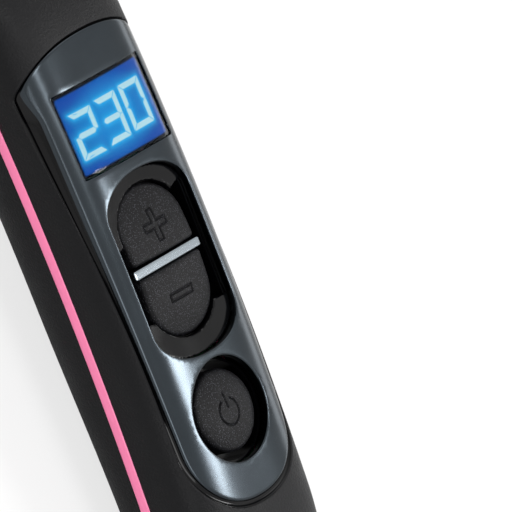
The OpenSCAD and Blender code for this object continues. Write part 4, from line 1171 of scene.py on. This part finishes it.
class Display:
    """Clear lens, lit field and seven-segment digits."""

    SEGMENTS: dict[str, str] = {"0": "abcdef", "2": "abged", "3": "abgcd"}
    TEXT = "230"

    def __init__(self, face: HandleFace, finishes: Finishes, sizes: DisplaySizes = DisplaySizes()) -> None:
        """Keeps the handle's face and the sizes."""
        self.face, self.plan, self.finishes, self.sizes = face, face.plan, finishes, sizes

    def build(self) -> None:
        """Makes lens, lit field and digits."""
        self.lens()
        self.field()
        self.digits()

    def under(self, local: Array, depth: Array) -> Array:
        """Row-frame points over places measured from the display's middle, at a depth below the face."""
        plan = local + [0.0, self.plan.lcd_y]
        return self.face.lift(plan, self.face.height(plan) - depth)

    def lens(self) -> None:
        """Clear acrylic lens that follows the face, its edge rounded."""
        p, z = self.plan, self.sizes
        loops = [rounded_box(p.lcd_w - 0.06 - 2 * d, p.lcd_l - 0.06 - 2 * d, 0.6) for d in (0.0, 0.12, 0.3)]
        sheet = carve(loops[0], [], loops[1:], grid((-13.5, -8.7), (13.5, 8.7), 1.0), 0.2)
        drop = z.sunk + rounding(distance(sheet.points, loops[0]), 0.3)
        shape = slab(sheet, lambda q: self.under(q, drop), lambda q: self.under(q, z.sunk + z.pane), 1)
        # its coating takes away most of the reflection, so its IOR is far below plain acrylic's
        material = make_finish(Finish("anti_reflection_coated_acrylic", "#F4F8FA", 0.015, Grain.POLISHED, 9.0,
                                      0.002, ior=1.16, shade=0.0, swing=0.012))
        material.node_tree.nodes["Principled BSDF"].inputs["Transmission Weight"].default_value = 1.0
        piece = make_piece("display_lens", shape, material, 20.0)
        stand_for(piece, ["display_window"])

    def cells(self) -> list[Array]:
        """Loops of all lit segments, measured from the display's middle."""
        z = self.sizes
        w, h, k, g = z.digit_w / 2, z.digit_h / 2, z.stroke, z.gap
        across = np.array([(-w + g, h), (w - g, h), (w - g - k, h - k), (-w + g + k, h - k)])
        along = np.array([(w, h - g), (w, g / 2), (w - k / 2, g / 2), (w - k, (g + k) / 2), (w - k, h - g - k)])
        middle = np.array([(-w + k / 2 + g, 0), (-w + k + g, k / 2), (w - k - g, k / 2), (w - k / 2 - g, 0),
                           (w - k - g, -k / 2), (-w + k + g, -k / 2)])
        shapes = {"a": across, "d": across * [1, -1], "b": along, "c": along * [1, -1], "f": along * [-1, 1],
                  "e": along * [-1, -1], "g": middle}
        found = []
        for i, digit in enumerate(self.TEXT):
            for name in self.SEGMENTS[digit]:
                loop = shapes[name] + [[z.slant * y, 0.0] for _, y in shapes[name]]
                found.append(loop + [(i - 1) * z.pitch, (i - 1) * z.rise] + z.shift)
        return found

    def field(self) -> None:
        """Black-bordered field, lit blue, with a cyan glow round the digits."""
        p, z = self.plan, self.sizes
        outer = rounded_box(p.lcd_w - 0.4, p.lcd_l - 0.4, 0.6)
        lit = rounded_box(p.lcd_w - 2 * z.border, p.lcd_l - 2 * z.border, 0.3)
        move = np.array([0.0, p.lcd_y])
        sheet = carve(outer, [], [lit], grid((-13.5, -8.7), (13.5, 8.7), 0.35), 0.1)
        shape = slab(sheet, lambda q: self.under(q, z.film),
                     lambda q: self.face.lift(q + move, np.full(len(q), z.low)), 2)
        piece = make_piece("lit_field", shape, self.lit_material())
        points = np.array([v.co for v in piece.data.vertices]) / MM
        local = self.local(points)
        far = np.min([distance(local, cell) * ~inside(local, cell) for cell in self.cells()], 0)
        glow = np.exp(-far / z.glow)
        on = inside(local, rounded_box(p.lcd_w - 2 * z.border + 0.02, p.lcd_l - 2 * z.border + 0.02, 0.3))
        corner = np.clip(np.hypot(local[:, 0] / 14.0, local[:, 1] / 9.0), 0, 1) ** 2
        for name, value in (("glow", glow), ("lit", on.astype(float)), ("corner", corner)):
            layer = piece.data.attributes.new(name, "FLOAT", "POINT")
            layer.data.foreach_set("value", value.astype(np.float32))
        stand_for(piece, ["lcd_module"])

    def local(self, points: Array) -> Array:
        """Plan places of row-frame points, measured from the display's middle."""
        o, s = self.face.outline, self.plan.station
        a = -s / o.bow_r
        y, z = points[:, 1] - o.apex_y, points[:, 2] - o.apex_z + o.bow_r
        return np.stack([points[:, 0], y * math.cos(a) + z * math.sin(a) - self.plan.lcd_y], 1)

    def lit_material(self) -> bpy.types.Material:
        """Backlit film: royal blue in the corners, azure in the middle, cyan near the digits."""
        material = make_finish(Finish("backlit_display_film", "#02060C", 0.4, Grain.POLISHED, 3.0, 0.003,
                                      specular=0.0))
        tree = material.node_tree
        shader = tree.nodes["Principled BSDF"]
        parts = {name: add(tree, "ShaderNodeAttribute", {}, attribute_name=name).outputs["Fac"]
                 for name in ("glow", "lit", "corner")}
        azure, royal, cyan = linear("#0A86D6"), linear("#0A48A6"), linear("#2FB8EE")
        field_colour = add(tree, "ShaderNodeMix", {0: parts["corner"], 6: azure, 7: royal},
                           data_type="RGBA").outputs[2]
        colour = add(tree, "ShaderNodeMix", {0: parts["glow"], 6: field_colour, 7: cyan},
                     data_type="RGBA").outputs[2]
        tree.links.new(colour, shader.inputs["Emission Color"])
        tree.links.new(parts["lit"], shader.inputs["Emission Strength"])
        return material

    def digits(self) -> None:
        """Lit segments, a hair above the field."""
        z = self.sizes
        shape: Optional[Shape] = None
        for cell in self.cells():
            loop = refined(cell, 0.6)
            part = loft([self.under(loop, z.film - h) for h in (0.06, 0.01)])
            shape = part if shape is None else shape + part
        material = make_finish(Finish("lit_display_segment", "#2A3438", 0.4, Grain.POLISHED, 2.0, 0.002,
                                      specular=0.0, shade=0.02))
        shader = material.node_tree.nodes["Principled BSDF"]
        shader.inputs["Emission Color"].default_value = linear("#C4F0FC")
        shader.inputs["Emission Strength"].default_value = 0.8
        stand_for(make_piece("lit_digits", shape, material), [])


# ---------------------------------------------------------------- heated head
@dataclass(frozen=True)
class HeadPlan:
    """Plan of the heating plate and what stands on it."""

    outline_of_body: BodyOutline = field(default_factory=BodyOutline)
    width: float = 50.6
    half: float = 51.5
    height: float = 7.0
    radius: float = 450.0
    thickness: float = 2.6
    pitch_x: float = 10.2
    pitch_s: float = 7.6
    tooth_l: float = 9.0
    tooth_w: float = 4.4
    tooth_h: float = 12.5
    tip_d: float = 3.7
    bristle_count: int = 34
    bristle_off: float = 3.9
    bristle_d: float = 1.9
    bristle_h: float = 15.5
    posts: tuple[tuple[float, float], ...] = ((-16.5, -29.0), (-16.5, 29.0), (16.5, -29.0), (16.5, 29.0))

    def half_x(self, u: Array, grow: float = 0.0) -> Array:
        """Half the plate's width at u."""
        u = np.asarray(u, float)
        return (self.width / 2 + grow) * sup(u / (self.half + grow), np.where(u < 0, 2.6, 3.6))

    def outline(self, grow: float, count: int = 72) -> Array:
        """Closed loop of the plate's edge, grown by a width."""
        u = (self.half + grow) * np.sin(np.linspace(-math.pi / 2, math.pi / 2, count))
        right = np.stack([self.half_x(u, grow), u], 1)
        return refined(np.concatenate([right, (right * [-1, 1])[::-1][1:-1]]), 1.2)

    def on_plate(self, local: Array) -> Array:
        """Row-frame points of places on the plate: x, length along it, height above its face."""
        a, r = local[:, 1] / self.radius, self.radius + local[:, 2]
        flat = np.stack([local[:, 0], r * np.sin(a), self.height - self.radius + r * np.cos(a)], 1)
        return self.outline_of_body.place(self.outline_of_body.head_s, flat)

    def tilt(self, u: Array) -> Array:
        """Turn about X of what stands on the plate."""
        return -(self.outline_of_body.head_s / self.outline_of_body.bow_r) - np.asarray(u) / self.radius

    def teeth(self) -> Array:
        """Places of the teeth: five columns, every other one shifted by half a pitch."""
        rows, found = math.ceil(self.half / self.pitch_s), []
        edge = max(0.0, min(0.6, self.width / 2 - 2 * self.pitch_x - self.tooth_l / 2))
        for k in range(-2, 3):
            for j in range(-rows, rows + 1):
                u = (j + (0.5 if abs(k) == 1 else 0.0)) * self.pitch_s
                if abs(u) >= self.half - self.tooth_w:
                    continue
                room = float(self.half_x(u))
                if abs(k) == 2:
                    if room - self.tooth_l / 2 - 0.6 > 1.65 * self.pitch_x:
                        off = min(2 * self.pitch_x, room - self.tooth_l / 2 - edge)
                        found.append((math.copysign(off, k), u))
                elif float(self.half_x(u + math.copysign(self.tooth_w * 0.7, u) * (u != 0))) > (
                        abs(k) * self.pitch_x + self.tooth_l / 2 - 1.2):
                    found.append((k * self.pitch_x, u))
        return np.array(found)

    def bristles(self) -> Array:
        """Places of the outer bristles, evenly along an oval outside the plate."""
        a = np.radians(360.0 * np.arange(121) / 120 - 90)
        u = (self.half + self.bristle_off) * np.sin(a)
        oval = np.stack([np.sign(np.cos(a)) * self.half_x(u, self.bristle_off), u], 1)
        run = np.concatenate([[0.0], np.cumsum(np.linalg.norm(np.diff(oval, axis=0), axis=1))])
        at = (np.arange(self.bristle_count) + 0.5) / self.bristle_count * run[-1]
        return np.stack([np.interp(at, run, oval[:, 0]), np.interp(at, run, oval[:, 1])], 1)


class Scatter:
    """Geometry Nodes group that repeats one piece on points and hands back a plain mesh."""

    SEED = 7

    def __init__(self) -> None:
        """Builds the group once."""
        tree = bpy.data.node_groups.new("repeat_on_points", "GeometryNodeTree")
        sockets = [("Points", "NodeSocketGeometry"), ("Piece", "NodeSocketObject"),
                   ("Finish", "NodeSocketMaterial"), ("Seed", "NodeSocketInt"),
                   ("Size Swing", "NodeSocketFloat"), ("Turn Swing", "NodeSocketFloat")]
        self.inputs = {name: tree.interface.new_socket(name, in_out="INPUT", socket_type=kind).identifier
                       for name, kind in sockets}
        tree.interface.new_socket("Geometry", in_out="OUTPUT", socket_type="NodeSocketGeometry")
        given = tree.nodes.new("NodeGroupInput").outputs
        piece = add(tree, "GeometryNodeObjectInfo", {"Object": given["Piece"]})
        turn = add(tree, "GeometryNodeInputNamedAttribute", {"Name": "turn"}, data_type="FLOAT_VECTOR")
        ones = (1.0, 1.0, 1.0)
        spread = add(tree, "FunctionNodeRandomValue", {0: (-1.0, -1.0, -1.0), 1: ones, "Seed": given["Seed"]},
                     data_type="FLOAT_VECTOR").outputs[0]
        wobble = add(tree, "ShaderNodeVectorMath", {0: spread, "Scale": given["Turn Swing"]},
                     operation="SCALE").outputs[0]
        turned = add(tree, "ShaderNodeVectorMath", {0: turn.outputs[0], 1: wobble}, operation="ADD").outputs[0]
        swing = add(tree, "ShaderNodeVectorMath", {0: spread, "Scale": given["Size Swing"]},
                    operation="SCALE").outputs[0]
        size = add(tree, "ShaderNodeVectorMath", {0: swing, 1: ones}, operation="ADD").outputs[0]
        placed = add(tree, "GeometryNodeInstanceOnPoints", {
            "Points": given["Points"], "Instance": piece.outputs["Geometry"], "Rotation": turned, "Scale": size})
        real = add(tree, "GeometryNodeRealizeInstances", {"Geometry": placed.outputs[0]})
        done = add(tree, "GeometryNodeSetMaterial", {"Geometry": real.outputs[0], "Material": given["Finish"]})
        out = tree.nodes.new("NodeGroupOutput")
        tree.links.new(done.outputs[0], out.inputs["Geometry"])
        self.tree = tree

    def make(self, name: str, item: Shape, points: Array, turns: Array, finish: bpy.types.Material,
             size_swing: float = 0.0, turn_swing: float = 0.0, sharp: float = 40.0) -> bpy.types.Object:
        """Repeats a shape.

        Args:
            name: Name of the finished piece.
            item: Shape that is repeated, about its own origin.
            points: Where its origin goes, in millimetres.
            turns: Its turn about X at each place.
            finish: The material.
            size_swing: Share by which sizes differ.
            turn_swing: Angle by which turns differ.
            sharp: Angle above which an edge stays crisp.

        Returns:
            The piece as a plain mesh object.
        """
        source = make_piece(name + ".item", item, finish, sharp)
        host_mesh = bpy.data.meshes.new(name + ".points")
        host_mesh.from_pydata((points * MM).tolist(), [], [])
        layer = host_mesh.attributes.new("turn", "FLOAT_VECTOR", "POINT")
        layer.data.foreach_set("vector", np.stack([turns, 0 * turns, 0 * turns], 1).astype(np.float32).ravel())
        host = bpy.data.objects.new(name + ".points", host_mesh)
        bpy.context.scene.collection.objects.link(host)
        modifier = host.modifiers.new("repeat", "NODES")
        modifier.node_group = self.tree
        values = {"Piece": source, "Finish": finish, "Seed": self.SEED, "Size Swing": size_swing,
                  "Turn Swing": turn_swing}
        for key, value in values.items():
            modifier[self.inputs[key]] = value
        depsgraph = bpy.context.evaluated_depsgraph_get()
        mesh = bpy.data.meshes.new_from_object(host.evaluated_get(depsgraph), depsgraph=depsgraph)
        mesh.name = name
        if not mesh.materials:
            mesh.materials.append(finish)
        for spare in (host, source):
            bpy.data.objects.remove(spare)
        piece = bpy.data.objects.new(name, mesh)
        bpy.context.scene.collection.objects.link(piece)
        log.info("%s: %d faces", name, len(mesh.polygons))
        return piece


class HeatingHead:
    """Coated plate, its fins, their ball tips and the bristles on the frame."""

    def __init__(self, plan: HeadPlan, finishes: Finishes, scatter: Scatter) -> None:
        """Keeps the plan and the tools."""
        self.plan, self.finishes, self.scatter = plan, finishes, scatter

    def build(self) -> None:
        """Makes the four pieces."""
        self.plate()
        self.fins()
        self.tips()
        self.bristles()

    def plate(self) -> None:
        """Crowned plate with a rounded edge and its posts."""
        p = self.plan
        loops = [p.outline(-d) for d in (0.0, 0.15, 0.4, 0.8)]
        sheet = carve(loops[0], [], loops[1:], grid((-26, -52), (26, 52), 2.2), 0.4)
        drop = rounding(distance(sheet.points, loops[0]), 0.8)
        shape = slab(sheet, lambda q: p.on_plate(np.column_stack([q, -drop])),
                     lambda q: p.on_plate(np.column_stack([q, np.full(len(q), -p.thickness)])), 2)
        for x, u in p.posts:
            ring = circle(3.2, 24, (x, u))
            rows = [p.on_plate(np.column_stack([ring, np.full(24, z)])) for z in (-2.0, -11.0)]
            shape = shape + loft(rows)
        piece = make_piece("coated_plate", shape, self.finishes["pink_coating"])
        stand_for(piece, ["heating_plate"])

    def fin(self) -> Shape:
        """One fin: a drop-shaped section that widens towards the plate, with a flat top round its ball."""
        p = self.plan
        a = np.linspace(0.0, 2 * math.pi, 36, endpoint=False)
        rows = []
        levels = [(-1.0, 1.0), (0.0, 1.0), (0.7, 0.86), (2.0, 0.66), (4.5, 0.42), (7.5, 0.2), (10.0, 0.07),
                  (11.7, 0.0), (12.2, -0.03), (12.42, -0.09), (12.5, -0.17)]
        for z, flare in levels:
            length = p.tooth_l / 2 * (1 + 0.3 * flare)
            width = p.tooth_w / 2 * (1 + 0.34 * flare)
            c, q = np.cos(a), np.sin(a)
            x = length * c
            y = width * q * (1 - 0.35 * np.abs(c) ** 3) * (1 - 0.12 * c)
            rows.append(np.stack([x, y, np.full(len(a), z)], 1))
        return loft(rows)

    def places(self, height: float) -> tuple[Array, Array]:
        """Points over every tooth and the turn there."""
        spots = self.plan.teeth()
        points = self.plan.on_plate(np.column_stack([spots, np.full(len(spots), height)]))
        return points, self.plan.tilt(spots[:, 1])

    def fins(self) -> None:
        """All fins in one piece."""
        points, turns = self.places(0.0)
        piece = self.scatter.make("pink_fins", self.fin(), points, turns, self.finishes["pink_coating"], sharp=50.0)
        stand_for(piece, ["heating_plate"])

    def tips(self) -> None:
        """Ball tips, each with a short collar in its fin."""
        p = self.plan
        r = p.tip_d / 2
        centre = 0.4 * p.tip_d
        profile = [(0.01, -0.6), (r * 0.8, -0.6), (r * 0.8, 0.0)]
        start = math.asin(-centre / r * 0.98)
        for angle in np.linspace(start, math.pi / 2, 12):
            profile.append((max(0.01, r * math.cos(angle)), centre + r * math.sin(angle)))
        points, turns = self.places(p.tooth_h)
        piece = self.scatter.make("ball_tips", lathe(profile, 24), points, turns, self.finishes["tip_plastic"])
        stand_for(piece, ["tooth_tips"])

    def bristles(self) -> None:
        """Outer bristles with slightly swollen round ends."""
        p = self.plan
        r = p.bristle_d / 2
        low = -p.bristle_h - 1.9
        profile = [(0.01, low), (r, low), (r * 0.97, -9.0), (r * 0.9, -4.0), (r * 0.88, -2.6)]
        for angle in np.linspace(-0.6, math.pi / 2, 10):
            profile.append((max(0.01, r * math.cos(angle)), -r + r * math.sin(angle)))
        spots = p.bristles()
        points = p.on_plate(np.column_stack([spots, np.full(len(spots), p.bristle_h)]))
        piece = self.scatter.make("bristle_ring", lathe(profile, 18), points, p.tilt(spots[:, 1]),
                                  self.finishes["bristle_nylon"])
        stand_for(piece, ["outer_bristles"])


# ---------------------------------------------------------------- cord outlet
@dataclass(frozen=True)
class OutletSizes:
    """Sizes of the end ring and the swivelling gland."""

    ring_d: float = 20.4
    ring_lip: float = 1.4
    lip_t: float = 1.6
    lip_round: float = 0.8
    ring_in: float = 4.2
    swivel_d: float = 16.0
    run_gap: float = 0.3
    play: float = 0.3
    bore: float = 6.6
    nose_d: float = 11.6
    nose_out: float = 11.0
    collar_w: float = 1.8
    collar_h: float = 1.3


class CordOutlet:
    """End ring in the shell and the gland that turns in it."""

    def __init__(self, outline: BodyOutline, finishes: Finishes, sizes: OutletSizes = OutletSizes()) -> None:
        """Keeps the outline and the sizes."""
        self.outline, self.finishes, self.sizes = outline, finishes, sizes

    def build(self) -> None:
        """Makes ring and gland."""
        self.ring()
        self.gland()

    def out_of_end(self, points: Array) -> Array:
        """Turns shapes drawn about Z, outwards up, to the cord end."""
        turned = np.stack([points[:, 0], -points[:, 2], points[:, 1]], 1)
        return self.outline.place(self.outline.butt_s, turned)

    def ring(self) -> None:
        """Gloss ring with a rounded lip."""
        z = self.sizes
        outer, inner = z.ring_d / 2 + z.ring_lip, z.swivel_d / 2 + z.run_gap
        seat = z.ring_d / 2 - 0.1
        profile = [(inner, -z.ring_in), (seat, -z.ring_in), (seat, 0.0), (outer - 0.1, 0.0), (outer, 0.12)]
        profile += [(outer, z.lip_round)]
        profile += [(outer - z.lip_round * (1 - math.cos(a)), z.lip_t - z.lip_round * (1 - math.sin(a)))
                    for a in np.linspace(0.2, 1.57, 6)]
        profile += [(inner + 0.3, z.lip_t), (inner + 0.08, z.lip_t - 0.1), (inner, z.lip_t - 0.3)]
        shape = lathe(profile, 96, closed=True).moved(self.out_of_end)
        stand_for(make_piece("outlet_ring", shape, self.finishes["gloss_black"]), ["end_ring"])

    def gland(self) -> None:
        """Soft gland with a scalloped collar."""
        z = self.sizes
        neck, low = z.swivel_d / 2, -z.ring_in - z.play
        collar = z.lip_t + z.play
        wide = neck + z.collar_w
        profile = [(z.bore / 2, low - 1.8), (z.ring_d / 2 - 0.5, low - 1.8), (z.ring_d / 2 - 0.5, low), (neck, low),
                   (neck, collar), (wide - 0.25, collar), (wide, collar + 0.25), (wide, collar + z.collar_h - 0.2),
                   (wide - 0.2, collar + z.collar_h), (neck + z.collar_w / 2, collar + 2 * z.collar_h),
                   (mix(neck + 0.9, z.nose_d / 2 + 1.2, 0.5), mix(collar + 2.6, z.nose_out - 2.4, 0.5) - 0.25),
                   (z.nose_d / 2 + 1.2, z.nose_out - 2.4), (z.nose_d / 2 + 0.5, z.nose_out - 1.5),
                   (z.nose_d / 2, z.nose_out - 0.9), (z.nose_d / 2 - 0.1, z.nose_out - 0.3),
                   (z.nose_d / 2 - 0.4, z.nose_out), (z.bore / 2 + 0.4, z.nose_out),
                   (z.bore / 2 + 0.1, z.nose_out - 0.12),
                   (z.bore / 2, z.nose_out - 0.4)]
        shape = lathe(profile, 120, closed=True)
        points = shape.points.copy()
        angle = np.arctan2(points[:, 1], points[:, 0])
        r = np.hypot(points[:, 0], points[:, 1])
        band = (r > neck + 0.6) & (points[:, 2] > collar - 0.01) & (points[:, 2] < collar + z.collar_h + 0.01)
        bite = np.where(band, 1 - 0.022 * (0.5 + 0.5 * np.cos(20 * angle)), 1.0)
        points[:, :2] *= bite[:, None]
        shape = Shape(points, shape.faces).moved(self.out_of_end)
        piece = make_piece("cord_gland", shape, self.finishes["gland_rubber"])
        stand_for(piece, ["swivel_gland"], "cord_swivel")


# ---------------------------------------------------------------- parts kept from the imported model
class Internals:
    """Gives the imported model's own parts their procedural finishes."""

    def __init__(self, finishes: Finishes) -> None:
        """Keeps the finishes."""
        self.finishes = finishes

    def dress(self) -> None:
        """Sets each node's material by the name of its slot."""
        for name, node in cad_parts.items():
            for slot in node.material_slots:
                known = slot.material.name.split(".")[0] if slot.material else ""
                slot.material = self.finishes[known if known in self.finishes.made else self.guess(name)]
        log.info("dressed %d nodes", len(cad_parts))

    @staticmethod
    def guess(name: str) -> str:
        """Slot of a node whose packed material has no known name."""
        table = {"screw": "zinc_screw", "lead": "lead_red", "board": "board_green", "plate": "pink_coating",
                 "tip": "tip_plastic", "bristle": "bristle_nylon", "button": "button_rubber",
                 "plunger": "plunger_plastic", "switch": "switch_body", "chip": "chip_black",
                 "triac": "chip_black", "capacitor": "capacitor_box", "mica": "mica",
                 "heater_clamp": "spring_steel", "ceramic": "heater_ceramic", "thermistor": "sensor_bead",
                 "fuse": "fuse_can", "shield": "mica", "gland": "gland_rubber", "bar": "bright_bar"}
        return next((slot for word, slot in table.items() if word in name), "black_shell")


# ---------------------------------------------------------------- studio
@dataclass(frozen=True)
class Lamp:
    """One soft lamp: where it is, what it aims at, its size and its power."""

    name: str
    place: tuple[float, float, float]
    aim: tuple[float, float, float]
    size: tuple[float, float]
    power: float
    colour: str = "#FFFFFF"


class Studio:
    """White floor, soft lamps and the camera of the photograph's close-up."""

    LENS = 1392.0
    STAND_OFF = 4.0
    LAMPS = (
        Lamp("overhead_softbox", (-0.15, 0.1, 1.1), (0.0, -0.04, 0.0), (0.35, 0.5), 4.2),
        Lamp("right_softbox", (0.52, -0.32, 0.85), (0.0, -0.07, 0.0), (0.16, 0.26), 4.0),
        Lamp("left_softbox", (-1.0, -0.5, 0.8), (0.0, -0.04, 0.0), (0.6, 0.6), 5.0),
        Lamp("fill_softbox", (0.7, 0.9, 0.9), (0.0, 0.05, 0.0), (0.8, 0.8), 3.0),
        Lamp("rim_softbox", (1.0, -0.2, 0.28), (0.0, -0.05, 0.0), (0.9, 0.22), 1.5),
    )

    def __init__(self, outline: BodyOutline) -> None:
        """Keeps the outline, which places the camera."""
        self.outline = outline

    def build(self) -> None:
        """Sets floor, world, lamps and camera."""
        self.floor()
        self.world()
        for lamp in self.LAMPS:
            self.lamp(lamp)
        self.camera()
        bpy.context.scene.view_settings.view_transform = "Standard"

    def floor(self) -> None:
        """Large white floor that keeps the shadow."""
        mesh = bpy.data.meshes.new("floor")
        mesh.from_pydata([(-30, -30, 0), (30, -30, 0), (30, 30, 0), (-30, 30, 0)], [], [(0, 1, 2, 3)])
        material = bpy.data.materials.new("white_sweep_paper")
        material.use_nodes = True
        tree = material.node_tree
        shader = tree.nodes["Principled BSDF"]
        shader.inputs["Base Color"].default_value = (0.85, 0.85, 0.85, 1.0)
        shader.inputs["Roughness"].default_value = 0.9
        shader.inputs["Specular IOR Level"].default_value = 0.0
        where = tree.nodes.new("ShaderNodeTexCoord").outputs["Object"]
        far = add(tree, "ShaderNodeVectorMath", {0: where}, operation="LENGTH").outputs["Value"]
        share = add(tree, "ShaderNodeMapRange", {"Value": far, "From Min": 0.25, "From Max": 1.0,
                                                 "To Min": 0.72, "To Max": 1.0})
        seen = add(tree, "ShaderNodeLightPath", {}).outputs["Is Camera Ray"]
        amount = add(tree, "ShaderNodeMath", {0: seen, 1: share.outputs[0]}, operation="MULTIPLY").outputs[0]
        white = add(tree, "ShaderNodeEmission", {"Color": (1.0, 1.0, 1.0, 1.0), "Strength": 1.0}).outputs[0]
        both = add(tree, "ShaderNodeMixShader", {0: amount, 1: shader.outputs[0], 2: white}).outputs[0]
        tree.links.new(both, tree.nodes["Material Output"].inputs["Surface"])
        mesh.materials.append(material)
        floor = bpy.data.objects.new("floor", mesh)
        bpy.context.scene.collection.objects.link(floor)

    def world(self) -> None:
        """White behind everything, softer as a source of light."""
        world = bpy.data.worlds.new("studio")
        bpy.context.scene.world = world
        world.use_nodes = True
        tree = world.node_tree
        path = add(tree, "ShaderNodeLightPath", {}).outputs
        seen = path["Is Camera Ray"]
        for name in ("Is Glossy Ray", "Is Transmission Ray"):
            seen = add(tree, "ShaderNodeMath", {0: seen, 1: path[name]}, operation="MAXIMUM").outputs[0]
        strength = add(tree, "ShaderNodeMapRange", {"Value": seen, "To Min": 0.5, "To Max": 1.0}).outputs[0]
        back = tree.nodes["Background"]
        back.inputs["Color"].default_value = (1.0, 1.0, 1.0, 1.0)
        tree.links.new(strength, back.inputs["Strength"])

    def lamp(self, lamp: Lamp) -> None:
        """One area lamp, turned to its aim."""
        data = bpy.data.lights.new(lamp.name, "AREA")
        data.shape = "RECTANGLE"
        data.size, data.size_y = lamp.size
        data.energy = lamp.power
        data.color = linear(lamp.colour)[:3]
        light = bpy.data.objects.new(lamp.name, data)
        light.visible_camera = False
        light.location = lamp.place
        light.rotation_euler = (Vector(lamp.aim) - Vector(lamp.place)).to_track_quat("-Z", "Y").to_euler()
        bpy.context.scene.collection.objects.link(light)

    def camera(self) -> None:
        """Long lens on the handle, from the upper left of the photograph's close-up."""
        right = Vector((0.612, -0.41503, 0.67360)).normalized()
        back = Vector((-0.708, 0.09343, 0.70005)).normalized()
        up = back.cross(right).normalized()
        right = up.cross(back).normalized()
        origin = Vector(self.outline.at(np.array(0.0), np.array(-55.9), np.array(-5.22), -99.0)) * MM
        aim = origin + right * 29.2 * MM + up * 5.39 * MM
        data = bpy.data.cameras.new("camera")
        data.lens, data.sensor_width = self.LENS, 36.0
        data.clip_start, data.clip_end = 0.05, 100.0
        camera = bpy.data.objects.new("camera", data)
        turn = Matrix((right, up, back)).transposed().to_4x4()
        camera.matrix_world = Matrix.Translation(aim + back * self.STAND_OFF) @ turn
        bpy.context.scene.collection.objects.link(camera)
        bpy.context.scene.camera = camera


def main() -> None:
    """Builds the brush in order: studio, the finishes of the parts inside, then shells, controls, head and outlet.
    """
    logging.basicConfig(level=logging.INFO, format="%(name)s %(message)s")
    outline = BodyOutline()
    plan, head = PanelPlan(), HeadPlan(outline)
    finishes, scatter = Finishes(), Scatter()
    Studio(outline).build()
    Internals(finishes).dress()
    BodyShells(outline, plan, head, finishes).build()
    face = HandleFace(outline, plan)
    deck = ControlDeck(face, finishes)
    deck.build()
    Keys(face, deck.sizes, finishes).build()
    Display(face, finishes).build()
    HeatingHead(head, finishes, scatter).build()
    CordOutlet(outline, finishes).build()


if __name__ == "__main__":
    main()
